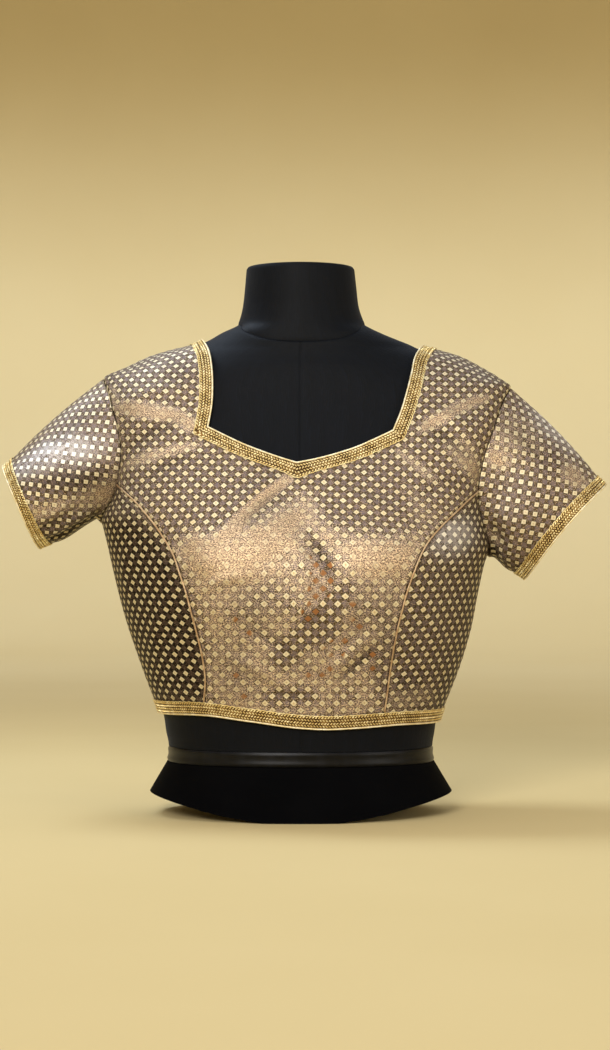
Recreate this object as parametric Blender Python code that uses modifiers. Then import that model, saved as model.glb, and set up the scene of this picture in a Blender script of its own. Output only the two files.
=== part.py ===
"""A short-sleeved choli blouse with princess seams and braid trim, on a limbless dress form.

The form stands on its flat sole at z = 0 and faces -Y. Left and right are as seen from the
front: left is -X. Sizes are in millimetres and become metres when a mesh is made. A place on
the form or the blouse is a spot: (turn, height), with turn in degrees from the centre front,
negative to the left, 90 at a side and 180 at the centre back.
"""

import math
from bisect import bisect_right
from typing import NamedTuple

import bmesh
import bpy
from mathutils import Vector

MM = 0.001
LEFT, RIGHT = -1, 1
SIDES = {"left": LEFT, "right": RIGHT}

# Cloth, trims and the gaps between pieces
CLOTH = 1.2
BRAID = 1.0
GAP = 0.3
NECK_BRAID_WIDTH = 12.0
NECK_POINT_DROP = 3.5
HEM_BRAID_WIDTH = 12.5
CUFF_BRAID_WIDTH = 11.5
CUFF_BRAID_LIFT = 0.36
PLACKET_HALF_WIDTH = 9.0
PIPING_RADIUS = 0.8
PIPING_SIDES_RESOLUTION = 1

# The form's stacked pieces
FORM_STATIONS = 44
BAND_BOTTOM, BAND_MIDDLE, BAND_TOP = 48.0, 55.0, 61.5
TORSO_LEVELS = (
    *(75, 90, 110, 130, 150, 171, 195, 210, 222, 234),
    *(250, 270, 290, 305, 320, 335, 350, 364, 378, 390),
)
SHOULDER_PARTS = (0.145, 0.32, 0.433, 0.526, 0.629, 0.701, 0.837, 1.0)
NECK_PARTS = (0.0, 0.14, 0.3, 0.5, 0.75, 1.0)
SHOULDER_START = 399.0
NECK_SEAM_SIDE, NECK_SEAM_FRONT, NECK_SEAM_BACK = 447.5, 428.3, 451.5
NECK_TOP = 500.0
SOLE_CUTS = ((34.0, 0.16), (75.0, 0.06))
BASE_HALF_WIDTH = 150.5
BASE_HALF_DEPTH = 100.0
BASE_SQUARE = 2.2


class Ring(NamedTuple):
    """One level section. Reaches run from the middle; square is 2 for an ellipse, more for a box."""

    height: float
    left: float
    right: float
    front: float
    back: float
    square: float


FORM_RINGS = (
    Ring(48.0, 122.5, 122.0, 85.6, 83.5, 2.2),
    Ring(55.0, 121.2, 120.5, 86.0, 84.0, 2.2),
    Ring(62.0, 121.3, 120.6, 87.0, 84.5, 2.2),
    Ring(75.0, 123.8, 122.6, 89.0, 86.0, 2.2),
    Ring(88.0, 125.6, 124.4, 91.5, 88.5, 2.2),
    Ring(110.0, 133.0, 132.0, 98.0, 91.0, 2.2),
    Ring(130.0, 140.2, 139.6, 103.5, 94.0, 2.2),
    Ring(171.0, 153.5, 151.6, 116.0, 99.0, 2.2),
    Ring(195.0, 159.5, 155.6, 121.5, 102.0, 2.2),
    Ring(222.0, 163.5, 159.6, 122.5, 105.0, 2.3),
    Ring(245.0, 163.0, 161.5, 117.0, 107.5, 2.5),
    Ring(270.0, 160.0, 159.0, 108.5, 109.0, 3.0),
    Ring(290.0, 159.0, 157.5, 101.0, 109.0, 3.6),
    Ring(320.0, 160.5, 161.0, 89.0, 107.0, 4.0),
    Ring(350.0, 166.0, 168.5, 77.0, 100.0, 3.8),
    Ring(378.0, 173.5, 178.5, 67.0, 88.0, 3.1),
    Ring(390.0, 175.0, 180.0, 63.5, 81.0, 2.7),
    Ring(399.0, 169.0, 172.5, 61.0, 75.0, 2.4),
    Ring(406.0, 156.0, 160.5, 59.0, 69.0, 2.25),
    Ring(414.5, 137.0, 142.0, 56.0, 63.0, 2.1),
    Ring(420.0, 118.5, 123.5, 54.5, 59.0, 2.05),
    Ring(424.5, 103.0, 109.5, 53.5, 57.0, 2.0),
    Ring(429.5, 91.5, 98.5, 53.0, 55.0, 2.0),
    Ring(433.0, 84.5, 89.5, 52.5, 53.5, 2.0),
    Ring(439.6, 73.0, 73.5, 52.0, 51.5, 2.0),
    Ring(446.5, 59.3, 60.5, 51.5, 49.0, 2.0),
    Ring(454.0, 55.8, 56.3, 51.0, 48.0, 2.0),
    Ring(466.0, 53.2, 52.8, 50.5, 47.0, 2.0),
    Ring(482.0, 51.5, 51.0, 50.5, 46.5, 2.0),
    Ring(500.0, 50.0, 49.0, 50.0, 46.0, 2.0),
)

CHOLI_RINGS = (
    Ring(70.0, 125.6, 124.2, 91.0, 88.5, 2.2),
    Ring(88.0, 128.9, 128.0, 95.5, 92.5, 2.2),
    Ring(110.0, 137.0, 136.4, 102.0, 95.5, 2.2),
    Ring(130.0, 144.6, 144.2, 107.5, 98.5, 2.2),
    Ring(150.0, 151.6, 150.8, 114.0, 101.0, 2.2),
    Ring(171.0, 158.7, 156.5, 120.0, 104.0, 2.2),
    Ring(195.0, 165.5, 161.0, 125.5, 107.0, 2.2),
    Ring(222.0, 172.0, 166.5, 126.5, 110.0, 2.3),
    Ring(245.0, 177.0, 171.5, 121.0, 112.5, 2.5),
    Ring(258.0, 180.0, 169.5, 117.0, 113.5, 2.7),
    Ring(267.0, 181.5, 167.3, 113.5, 114.0, 2.9),
    Ring(286.0, 172.0, 163.3, 106.5, 114.0, 3.5),
    Ring(301.0, 167.9, 164.5, 101.0, 113.0, 3.8),
    Ring(320.0, 167.5, 169.5, 93.0, 111.0, 4.0),
    Ring(350.0, 175.5, 181.0, 81.0, 104.0, 3.8),
    Ring(378.0, 183.5, 189.5, 71.0, 92.0, 3.1),
    Ring(389.5, 183.6, 192.3, 67.5, 85.0, 2.7),
    Ring(397.7, 181.2, 183.0, 65.0, 79.5, 2.4),
    Ring(409.0, 158.5, 164.3, 61.5, 71.5, 2.2),
    Ring(418.0, 139.0, 146.5, 59.0, 65.0, 2.1),
    Ring(424.0, 119.5, 126.5, 57.5, 61.0, 2.05),
    Ring(427.5, 104.5, 109.5, 57.0, 59.5, 2.0),
    Ring(430.5, 95.5, 101.0, 56.5, 58.0, 2.0),
    Ring(433.0, 89.5, 95.0, 56.0, 57.0, 2.0),
    Ring(440.0, 80.0, 90.0, 55.0, 55.0, 2.0),
)


class Swell(NamedTuple):
    """A soft rise, or hollow where it is negative, round a line seen from the front."""

    across: float
    height: float
    end_across: float
    end_height: float
    radius: float
    rise: float


CUPS = (
    Swell(-72.0, 220.0, -66.0, 232.0, 56.0, 8.0),
    Swell(66.0, 216.0, 72.0, 228.0, 56.0, 8.0),
)

# Shoulder blades, on the back
BLADES = (
    Swell(-74.0, 318.0, -70.0, 340.0, 52.0, 4.5),
    Swell(74.0, 316.0, 74.0, 338.0, 52.0, 4.5),
    Swell(0.0, 120.0, 0.0, 190.0, 26.0, -2.0),
)

# Swells die away within this distance of the side line
SWELL_FADE = 36.0

# Drag folds of the worn cloth, on top of the cups and blades
FRONT_FOLDS = (
    Swell(-20.0, 266.0, -78.0, 236.0, 17.0, 1.8),
    Swell(22.0, 262.0, 84.0, 238.0, 17.0, 1.8),
    Swell(8.0, 256.0, 30.0, 205.0, 16.0, -1.6),
    Swell(36.0, 136.0, 74.0, 166.0, 15.0, 1.6),
    Swell(-62.0, 122.0, -18.0, 150.0, 16.0, 1.4),
    Swell(-150.0, 372.0, -108.0, 350.0, 16.0, 1.6),
    Swell(158.0, 352.0, 112.0, 336.0, 16.0, 1.6),
)
BACK_FOLDS = (
    Swell(-128.0, 262.0, -64.0, 232.0, 24.0, 2.0),
    Swell(124.0, 246.0, 62.0, 222.0, 24.0, 2.0),
    Swell(-92.0, 148.0, -38.0, 170.0, 22.0, 1.6),
    Swell(34.0, 160.0, 90.0, 132.0, 22.0, 1.6),
)


class Stop(NamedTuple):
    """A point that an edge or seam runs through, seen from the front."""

    across: float
    height: float


class Neckline(NamedTuple):
    """One side of the neck edge: along the bottom from the centre, then up beside the strap."""

    bottom: tuple
    corner: Stop
    strap: tuple
    shoulder: float


FRONT_NECK = {
    LEFT: Neckline(
        bottom=(Stop(-3.5, 317.5), Stop(-18.0, 321.8), Stop(-50.0, 333.8)),
        corner=Stop(-82.0, 349.5),
        strap=(Stop(-79.0, 368.0), Stop(-78.5, 392.0), Stop(-81.5, 417.0)),
        shoulder=90.0,
    ),
    RIGHT: Neckline(
        bottom=(Stop(-3.5, 317.5), Stop(16.0, 321.4), Stop(48.0, 331.0)),
        corner=Stop(81.5, 346.5),
        strap=(Stop(89.0, 365.0), Stop(97.0, 392.0), Stop(103.0, 416.0)),
        shoulder=112.0,
    ),
}
BACK_NECK = {
    LEFT: Neckline(
        bottom=(Stop(0.0, 352.0), Stop(-38.0, 354.5)),
        corner=Stop(-76.0, 363.0),
        strap=(Stop(-78.0, 382.0), Stop(-81.0, 402.0), Stop(-85.0, 421.0)),
        shoulder=90.0,
    ),
    RIGHT: Neckline(
        bottom=(Stop(0.0, 352.0), Stop(38.0, 353.0)),
        corner=Stop(78.0, 360.0),
        strap=(Stop(86.0, 380.0), Stop(95.0, 400.0), Stop(105.0, 418.0)),
        shoulder=112.0,
    ),
}

FRONT_HEM = (
    Stop(-131.0, 92.3),
    Stop(-90.0, 94.0),
    Stop(-45.0, 89.3),
    Stop(0.0, 83.5),
    Stop(24.0, 82.3),
    Stop(54.0, 83.4),
    Stop(89.0, 85.2),
    Stop(129.0, 84.5),
)
BACK_HEM = (Stop(-131.0, 92.3), Stop(-60.0, 87.5), Stop(0.0, 85.0), Stop(60.0, 84.0), Stop(129.0, 84.5))

# Princess seams, from the hem up to the armhole
PRINCESS = {
    LEFT: (
        Stop(-82.5, 94.0),
        Stop(-84.0, 132.0),
        Stop(-90.5, 173.0),
        Stop(-102.0, 219.0),
        Stop(-118.0, 250.0),
        Stop(-142.0, 279.0),
    ),
    RIGHT: (
        Stop(71.5, 86.0),
        Stop(77.5, 128.0),
        Stop(82.0, 169.5),
        Stop(92.5, 213.0),
        Stop(108.5, 246.0),
        Stop(140.0, 277.5),
    ),
}


class Armhole(NamedTuple):
    """An upright oval where a sleeve is set in; the princess seam meets it at the junction height."""

    top: float
    bottom: float
    reach: float
    junction: float


ARMHOLES = {
    LEFT: Armhole(top=397.7, bottom=265.0, reach=56.0, junction=299.5),
    RIGHT: Armhole(top=389.5, bottom=236.0, reach=56.0, junction=294.5),
}


class SleeveCut(NamedTuple):
    """Where a sleeve's cuff lies, seen from the front.

    Its depth runs from front to back, its bow carries the front out along the arm, and its lean
    draws the edge in from the braid's upper line. Ease is the sleeve's fullness at mid-length.
    """

    cuff_top: Stop
    cuff_bottom: Stop
    depth: float
    bow: float
    lean: float
    ease: float


SLEEVES = {
    LEFT: SleeveCut(Stop(-273.0, 317.0), Stop(-240.5, 242.6), 104.0, -2.5, 8.0, 3.5),
    RIGHT: SleeveCut(Stop(280.3, 300.2), Stop(206.0, 214.2), 84.0, -5.5, 0.0, 3.5),
}


class SleeveFold(NamedTuple):
    """A trough along a sleeve, with its angles counted forwards from the top.

    It runs between two parts of the sleeve's length and is deepest at its peak.
    """

    angle: float
    end_angle: float
    start: float
    peak: float
    end: float
    width: float
    depth: float


SLEEVE_FOLDS = {
    LEFT: (
        SleeveFold(180.0, 180.0, 0.0, 0.15, 1.0, 30.0, 8.5),
        SleeveFold(126.0, 112.0, 0.0, 0.3, 0.75, 16.0, 4.0),
        SleeveFold(62.0, 76.0, 0.05, 0.4, 0.85, 15.0, 2.6),
        SleeveFold(234.0, 250.0, 0.0, 0.35, 0.8, 17.0, 4.0),
        SleeveFold(300.0, 288.0, 0.1, 0.45, 0.9, 15.0, 2.6),
    ),
    RIGHT: (
        SleeveFold(180.0, 180.0, 0.0, 0.3, 1.0, 28.0, 4.6),
        SleeveFold(138.0, 120.0, 0.0, 0.25, 0.8, 16.0, 4.8),
        SleeveFold(84.0, 98.0, 0.0, 0.35, 0.8, 15.0, 3.0),
        SleeveFold(224.0, 244.0, 0.0, 0.3, 0.8, 17.0, 4.4),
        SleeveFold(292.0, 276.0, 0.1, 0.45, 0.9, 15.0, 2.8),
    ),
}

# Columns run from the centre to the side; rows run up from the hem
CORNER_COLUMN, BRAID_COLUMN, OUTER_COLUMN = 5, 6, 11
SIDE_COLUMNS = 6
STRAP_ROWS = 8
RIDGE_CLOSENESS = 1.3
CURVE_STEPS = 24
JUNCTION_ROW = 12
SLEEVE_ROWS = 9


class Face(NamedTuple):
    """The front or the back of the body: its neckline and hem, and the row that the neckline is on."""

    is_back: bool
    necklines: dict
    hem: tuple
    neck_row: int


FRONT = Face(False, FRONT_NECK, FRONT_HEM, 16)
BACK = Face(True, BACK_NECK, BACK_HEM, 19)


def smooth_column(places, values):
    """A function that runs smoothly through the values at these places, with no overshoot."""
    steps = [after - before for before, after in zip(places, places[1:])]
    slopes = [(after - before) / step for before, after, step in zip(values, values[1:], steps)]
    bends = [slopes[0]]
    for before, after in zip(slopes, slopes[1:]):
        bends.append(2 * before * after / (before + after) if before * after > 0 else 0.0)
    bends.append(slopes[-1])

    def value(place):
        k = min(max(bisect_right(places, place) - 1, 0), len(steps) - 1)
        t = min(max((place - places[k]) / steps[k], 0.0), 1.0)
        return (
            values[k] * (1 + 2 * t) * (1 - t) ** 2
            + bends[k] * steps[k] * t * (1 - t) ** 2
            + values[k + 1] * t * t * (3 - 2 * t)
            + bends[k + 1] * steps[k] * t * t * (t - 1)
        )

    return value


def distance_to_run(point, swell):
    """How far a point, seen from the front, lies from a swell's line."""
    start = Vector((swell.across, swell.height))
    run = Vector((swell.end_across, swell.end_height)) - start
    part = (Vector((point.x, point.z)) - start).dot(run) / max(run.length_squared, 1.0)
    return (Vector((point.x, point.z)) - start - run * min(max(part, 0.0), 1.0)).length


class Hull:
    """A smooth body through level rings, with soft swells on its front and back."""

    NUDGE = 0.05
    LIMIT = 1e-6

    def __init__(self, rings, front_swells, back_swells):
        heights = [ring.height for ring in rings]
        self.columns = [smooth_column(heights, column) for column in list(zip(*rings))[1:]]
        self.front_swells = front_swells
        self.back_swells = back_swells

    def skin(self, turn, height):
        """The point of the plain body, without its swells."""
        left, right, front, back, square = (column(height) for column in self.columns)
        across, ahead = math.sin(math.radians(turn)), math.cos(math.radians(turn))
        spread = (abs(across) ** square + abs(ahead) ** square) ** (-1 / square)
        width = right if across > 0 else left
        depth = front if ahead > 0 else back
        return Vector((width * spread * across, -depth * spread * ahead, height))

    def tangents(self, spot):
        """How the point moves for each degree of turn and each millimetre of height."""
        turn, height = spot
        nudge = self.NUDGE
        along = self.skin(turn + nudge, height) - self.skin(turn - nudge, height)
        up = self.skin(turn, height + nudge) - self.skin(turn, height - nudge)
        return along / (2 * nudge), up / (2 * nudge)

    def normal(self, spot):
        along, up = self.tangents(spot)
        return along.cross(up).normalized()

    def point(self, spot, out=0.0):
        """The point of the body at a spot, moved out by this much."""
        point = self.skin(*spot)
        rise = 0.0
        for swell in self.front_swells if point.y < 0 else self.back_swells:
            rise += swell.rise * math.exp(-((distance_to_run(point, swell) / swell.radius) ** 2))
        fade = min(abs(point.y) / SWELL_FADE, 1.0)
        return point + self.normal(spot) * (out + rise * fade * fade * (3 - 2 * fade))

    def at_across(self, stop, is_back):
        """The spot of the front or back at this place, seen from the front."""
        left, right, _, _, square = (column(stop.height) for column in self.columns)
        part = (abs(stop.across) / (right if stop.across > 0 else left)) ** square
        part = min(part, 1 - self.LIMIT)
        turn = math.degrees(math.atan((part / (1 - part)) ** (1 / square)))
        return (math.copysign(180 - turn if is_back else turn, stop.across), stop.height)

    def at_depth(self, side, depth, height):
        """The spot of one side this far behind the side line, or in front of it if negative."""
        _, _, front, back, square = (column(height) for column in self.columns)
        part = (abs(depth) / (front if depth < 0 else back)) ** square
        part = min(max(part, self.LIMIT**2), 1 - self.LIMIT)
        turn = math.degrees(math.atan(((1 - part) / part) ** (1 / square)))
        return (side * (180 - turn if depth > 0 else turn), height)

    def ridge(self, side, across):
        """The spot on the shoulder ridge this far across."""
        width = self.columns[0 if side == LEFT else 1]
        low, high = SHOULDER_START - 10, CHOLI_RINGS[-1].height
        while high - low > 0.001:
            middle = (low + high) / 2
            low, high = (middle, high) if width(middle) > across else (low, middle)
        return (side * 90.0, low)

    def beside(self, before, here, after, width):
        """The spot moved sideways on the body, to the right of a run and mitred at its bends.

        before or after may be None at the end of a run.
        """
        normal = self.normal(here)
        steps = [pair for pair in ((before, here), (here, after)) if None not in pair]
        ways = [
            (self.skin(*end) - self.skin(*start)).normalized().cross(normal).normalized()
            for start, end in steps
        ]
        move = sum(ways, Vector()) / (1 + ways[0].dot(ways[-1])) if len(ways) == 2 else ways[0]
        move = move * width
        along, up = self.tangents(here)
        cross, determinant = along.dot(up), along.length_squared * up.length_squared - along.dot(up) ** 2
        turn = (move.dot(along) * up.length_squared - move.dot(up) * cross) / determinant
        rise = (move.dot(up) * along.length_squared - move.dot(along) * cross) / determinant
        moved = (here[0] + turn, here[1] + rise)
        reached = (self.skin(*moved) - self.skin(*here)).length
        scale = move.length / reached
        return (here[0] + turn * scale, here[1] + rise * scale)

    def raised(self, spot, rise):
        """The spot this far up the body's skin."""
        return (spot[0], spot[1] + rise / self.tangents(spot)[1].length)


FORM = Hull(FORM_RINGS, CUPS, BLADES)
CHOLI = Hull(CHOLI_RINGS, CUPS + FRONT_FOLDS, BLADES + BACK_FOLDS)


def between(first, last, count):
    """Evenly spaced spots on a straight run, both ends included."""
    return [
        tuple(a + (b - a) * k / count for a, b in zip(first, last)) for k in range(count + 1)
    ]


def curve_through(stops):
    """Closely spaced points of a smooth curve through the stops, both ends included."""
    ends = [2 * Vector(stops[0]) - Vector(stops[1]), 2 * Vector(stops[-1]) - Vector(stops[-2])]
    knots = [ends[0], *map(Vector, stops), ends[1]]
    fine = []
    for k in range(1, len(knots) - 2):
        p, q, r, s = knots[k - 1 : k + 3]
        for step in range(CURVE_STEPS):
            t = step / CURVE_STEPS
            bend = (2 * p - 5 * q + 4 * r - s) * t * t + (3 * q - p - 3 * r + s) * t**3
            fine.append(Stop(*(q + ((r - p) * t + bend) / 2)))
    return fine + [stops[-1]]


def spaced(stops, is_back, count, closeness=1.0, last=None):
    """Spots along a smooth curve through the stops, both ends included, spaced along the cloth.

    A closeness above 1 sets them closer together towards the end, and last replaces the end's spot.
    """
    fine = [CHOLI.at_across(stop, is_back) for stop in curve_through(stops)]
    fine[-1] = last or fine[-1]
    points = [CHOLI.skin(*spot) for spot in fine]
    lengths = [0.0]
    for start, end in zip(points, points[1:]):
        lengths.append(lengths[-1] + (end - start).length)
    spots = [fine[0]]
    for k in range(1, count):
        wanted = lengths[-1] * (1 - (1 - k / count) ** closeness)
        i = bisect_right(lengths, wanted) - 1
        part = (wanted - lengths[i]) / (lengths[i + 1] - lengths[i])
        spots.append(tuple(a + (b - a) * part for a, b in zip(fine[i], fine[i + 1])))
    return spots + [fine[-1]]


def fill(bottom, top, inner, outer):
    """Rows of spots inside four edges; bottom and top run outwards, inner and outer run up."""
    rows, columns = len(inner) - 1, len(bottom) - 1
    filled = []
    for j in range(rows + 1):
        v = j / rows
        row = []
        for i in range(columns + 1):
            u = i / columns
            row.append(
                tuple(
                    (1 - v) * bottom[i][k] + v * top[i][k]
                    + (1 - u) * inner[j][k] + u * outer[j][k]
                    - (1 - u) * ((1 - v) * bottom[0][k] + v * top[0][k])
                    - u * ((1 - v) * bottom[-1][k] + v * top[-1][k])
                    for k in (0, 1)
                )
            )
        filled.append(row)
    return filled


def hem_height(face, across):
    """The hem's height this far across."""
    return smooth_column([stop.across for stop in face.hem], [stop.height for stop in face.hem])(across)


def hem_spot(face, across):
    return CHOLI.at_across(Stop(across, hem_height(face, across)), face.is_back)


def side_hem_spot(side):
    """Where the side seam meets the hem."""
    return (side * 90.0, FRONT_HEM[0 if side == LEFT else -1].height)


def armhole_spot(side, angle):
    """The spot of the armhole at an angle from its top, forwards and down."""
    hole = ARMHOLES[side]
    middle, half = (hole.top + hole.bottom) / 2, (hole.top - hole.bottom) / 2
    height = middle + half * math.cos(math.radians(angle))
    return CHOLI.at_depth(side, -hole.reach * math.sin(math.radians(angle)), height)


def armhole_angle(side, height, is_back):
    """The angle at which the armhole passes this height."""
    hole = ARMHOLES[side]
    middle, half = (hole.top + hole.bottom) / 2, (hole.top - hole.bottom) / 2
    angle = math.degrees(math.acos((height - middle) / half))
    return 360 - angle if is_back else angle


def armhole_angles(side, face):
    """The angles of a face's armhole rows, from the lowest row up to the shoulder."""
    corner = face.necklines[side].corner.height
    at_neck = armhole_angle(side, corner, face.is_back)
    at_braid = armhole_angle(side, corner - NECK_BRAID_WIDTH - 1, face.is_back)
    lowest = 180.0 if face.is_back else armhole_angle(side, ARMHOLES[side].junction, False)
    top = 360.0 if face.is_back else 0.0
    rows = face.neck_row - 1 - JUNCTION_ROW
    low = [lowest + (at_braid - lowest) * k / rows for k in range(rows + 1)]
    parts = [1 - (1 - k / STRAP_ROWS) ** 1.2 for k in range(STRAP_ROWS + 1)]
    strap = [at_neck + (top - at_neck) * part for part in parts]
    return low + strap


def side_seam(side):
    """Spots of a side seam, from the hem's row to the underarm."""
    start = side_hem_spot(side)
    top = armhole_spot(side, 180.0)
    return [start] + between(CHOLI.raised(start, HEM_BRAID_WIDTH), (side * 90.0, top[1]), JUNCTION_ROW - 1)


def princess_seam(side):
    """Spots of a princess seam, from the hem's row to its junction with the armhole."""
    stops = PRINCESS[side]
    start = hem_spot(FRONT, stops[0].across)
    first = CHOLI.raised(start, HEM_BRAID_WIDTH)
    end = armhole_spot(side, armhole_angle(side, ARMHOLES[side].junction, False))
    low, high = CHOLI.skin(*first), CHOLI.skin(*end)
    run = (Stop(low.x, low.z), *stops[1:], Stop(high.x, high.z))
    return [start] + spaced(run, False, JUNCTION_ROW - 1, last=end)


def neck_edge(side, face):
    """The neck edge of one side: spots along the bottom, and spots from the corner to the shoulder."""
    neckline = face.necklines[side]
    bottom = spaced((*neckline.bottom, neckline.corner), face.is_back, CORNER_COLUMN)
    if face.is_back:
        bottom[0] = (side * 180.0, bottom[0][1])
    ridge = CHOLI.ridge(side, neckline.shoulder)
    shoulder = Stop(side * neckline.shoulder, ridge[1])
    stops = (neckline.corner, *neckline.strap, shoulder)
    return bottom, spaced(stops, face.is_back, STRAP_ROWS, RIDGE_CLOSENESS, ridge)


def braid_line(side, face):
    """The braid's outer line beside a neck edge, keyed as the panel's cells are."""
    neck = face.neck_row
    bottom, strap = neck_edge(side, face)
    opposite = neck_edge(-side, face)[0]
    way = -side if face.is_back else side
    width = way * NECK_BRAID_WIDTH
    spots = {}
    centre = CHOLI.beside(opposite[1], bottom[0], bottom[1], width)
    drop = 0.0 if face.is_back else NECK_POINT_DROP
    spots[neck - 1, 0] = (bottom[0][0], CHOLI.raised(centre, -drop)[1])
    for k in range(1, CORNER_COLUMN):
        spots[neck - 1, k] = CHOLI.beside(bottom[k - 1], bottom[k], bottom[k + 1], width)
    corner, beside = bottom[-1], CHOLI.beside
    spots[neck - 1, CORNER_COLUMN] = beside(bottom[-2], corner, None, width)
    spots[neck - 1, BRAID_COLUMN] = beside(bottom[-2], corner, strap[1], width)
    spots[neck, BRAID_COLUMN] = beside(None, corner, strap[1], width)
    for k in range(1, STRAP_ROWS):
        spots[neck + k, BRAID_COLUMN] = beside(strap[k - 1], strap[k], strap[k + 1], width)
    at_shoulder = CHOLI.ridge(side, face.necklines[side].shoulder + NECK_BRAID_WIDTH)
    spots[neck + STRAP_ROWS, BRAID_COLUMN] = at_shoulder
    return spots


def on_hem(face, turn):
    """The spot of the hem at this turn."""
    rough = CHOLI.skin(turn, face.hem[0].height)
    return (turn, hem_height(face, rough.x))


def hem_row(side, face, outer):
    """Spots of the hem's edge, from the centre to the piece's outer seam."""
    if face.is_back:
        edge = hem_spot(face, side * PLACKET_HALF_WIDTH)
        turns = [side * 180.0] + [spot[0] for spot in between(edge, outer, OUTER_COLUMN - 1)]
    else:
        centre = hem_spot(face, face.necklines[side].bottom[0].across)
        turns = [spot[0] for spot in between(centre, outer, OUTER_COLUMN)]
    return [on_hem(face, turn) for turn in turns[:-1]] + [outer]


def body_half(side, face):
    """Spots of half the front's middle panel, or of one back, keyed (row, column)."""
    neck, top = face.neck_row, face.neck_row + STRAP_ROWS
    seam = side_seam(side) if face.is_back else princess_seam(side)
    holes = [armhole_spot(side, angle) for angle in armhole_angles(side, face)]
    low_rows = neck - 1 - JUNCTION_ROW
    outer = seam + holes[1 : low_rows + 1]
    strap_outer = holes[low_rows + 1 :]
    bottom, strap = neck_edge(side, face)
    spots = dict(braid_line(side, face))
    spots.update({(neck, k): spot for k, spot in enumerate(bottom)})
    spots.update({(neck + k, CORNER_COLUMN): spot for k, spot in enumerate(strap)})
    chest = between(spots[neck, BRAID_COLUMN], strap_outer[0], OUTER_COLUMN - BRAID_COLUMN)
    under = between(spots[neck - 1, BRAID_COLUMN], outer[-1], OUTER_COLUMN - BRAID_COLUMN)
    shoulder = between(spots[top, BRAID_COLUMN], strap_outer[-1], OUTER_COLUMN - BRAID_COLUMN)
    inner = [spots[neck + k, BRAID_COLUMN] for k in range(STRAP_ROWS + 1)]
    for j, row in enumerate(fill(chest, shoulder, inner, strap_outer)):
        spots.update({(neck + j, BRAID_COLUMN + i): spot for i, spot in enumerate(row)})
    hem = hem_row(side, face, seam[0])
    above = [CHOLI.raised(spot, HEM_BRAID_WIDTH) for spot in hem]
    above[-1] = seam[1]
    last = [spots[neck - 1, k] for k in range(BRAID_COLUMN)] + under
    centre = between(above[0], last[0], neck - 2)
    for j, row in enumerate(fill(above, last, centre, outer[1:])):
        spots.update({(1 + j, i): spot for i, spot in enumerate(row)})
    spots.update({(0, k): spot for k, spot in enumerate(hem)})
    if face.is_back:
        for row in range(neck + 1):
            spots[row, 1] = CHOLI.at_across(Stop(side * PLACKET_HALF_WIDTH, spots[row, 1][1]), True)
    return {(row, side * column): spot for (row, column), spot in spots.items()}


def side_panel(side):
    """Spots of a front side panel, from the princess seam to the side seam."""
    seam, edge = princess_seam(side), side_seam(side)
    start, end = (abs(CHOLI.skin(*spot).x) for spot in (seam[0], edge[0]))
    hem = [seam[0]]
    for k in range(1, SIDE_COLUMNS):
        across = start + (end - start) * math.sin(math.pi / 2 * k / SIDE_COLUMNS)
        hem.append(hem_spot(FRONT, side * across))
    hem.append(edge[0])
    above = [CHOLI.raised(spot, HEM_BRAID_WIDTH) for spot in hem]
    above[0], above[-1] = seam[1], edge[1]
    junction = armhole_angle(side, ARMHOLES[side].junction, False)
    top = [
        armhole_spot(side, junction + (180.0 - junction) * k / SIDE_COLUMNS)
        for k in range(SIDE_COLUMNS + 1)
    ]
    top[0] = seam[-1]
    spots = {(0, side * k): spot for k, spot in enumerate(hem)}
    for j, row in enumerate(fill(above, top, seam[1:], edge[1:])):
        spots.update({(1 + j, side * i): spot for i, spot in enumerate(row)})
    return spots


def on_choli(spots, out=0.0):
    """The points of these spots, moved out from the blouse."""
    return {key: CHOLI.point(spot, out) for key, spot in spots.items()}


def sleeve_points(side):
    """Points of a sleeve's outer face, keyed (row, column), from the armhole to the cuff."""
    cut, hole_angles = SLEEVES[side], armhole_stations(side)
    rim = [armhole_spot(side, angle) for angle in hole_angles]
    rim_points = [CHOLI.point(spot) for spot in rim]
    top, bottom = (Vector((stop.across, 0, stop.height)) for stop in (cut.cuff_top, cut.cuff_bottom))
    middle, up = (top + bottom) / 2, (top - bottom) / 2
    axis = Vector((up.z, 0, -up.x)).normalized() * side
    points = {}
    for i, angle in enumerate(hole_angles):
        ahead = math.sin(math.radians(angle))
        depth = Vector((0, -ahead, 0))
        cuff = middle + up * math.cos(math.radians(angle)) + depth * cut.depth / 2
        cuff += axis * cut.bow * max(ahead, 0.0) ** 2
        here, normal = rim_points[i], CHOLI.normal(rim[i])
        run = (rim_points[(i + 1) % len(rim)] - rim_points[i - 1]).normalized()
        inwards = normal.cross(run) * side
        way = (cuff - here).normalized()
        skin = run.cross(way) * side
        root = here + inwards * (GAP + CLOTH * max(0.0, skin.dot(inwards)))
        root += normal * GAP * min(1.0, max(0.0, -3 * way.dot(inwards)))
        back = (root - cuff).normalized() * CUFF_BRAID_WIDTH + depth * cut.lean
        braid = cuff + back.normalized() * CUFF_BRAID_WIDTH
        for row in range(SLEEVE_ROWS):
            part = row / (SLEEVE_ROWS - 1)
            point = root.lerp(braid, part)
            centre = ((rim_points[0] + rim_points[len(rim) // 2]) / 2).lerp(middle, part)
            outward = (point - centre).normalized()
            size = cut.ease * 4 * part * (1 - part)
            for fold in SLEEVE_FOLDS[side]:
                size -= fold_depth(fold, angle, part)
            points[row, side * i] = point + outward * size
        points[SLEEVE_ROWS, side * i] = cuff
    closing = {(row, side * len(rim)): points[row, 0] for row in range(SLEEVE_ROWS + 1)}
    return {**points, **closing}


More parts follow.
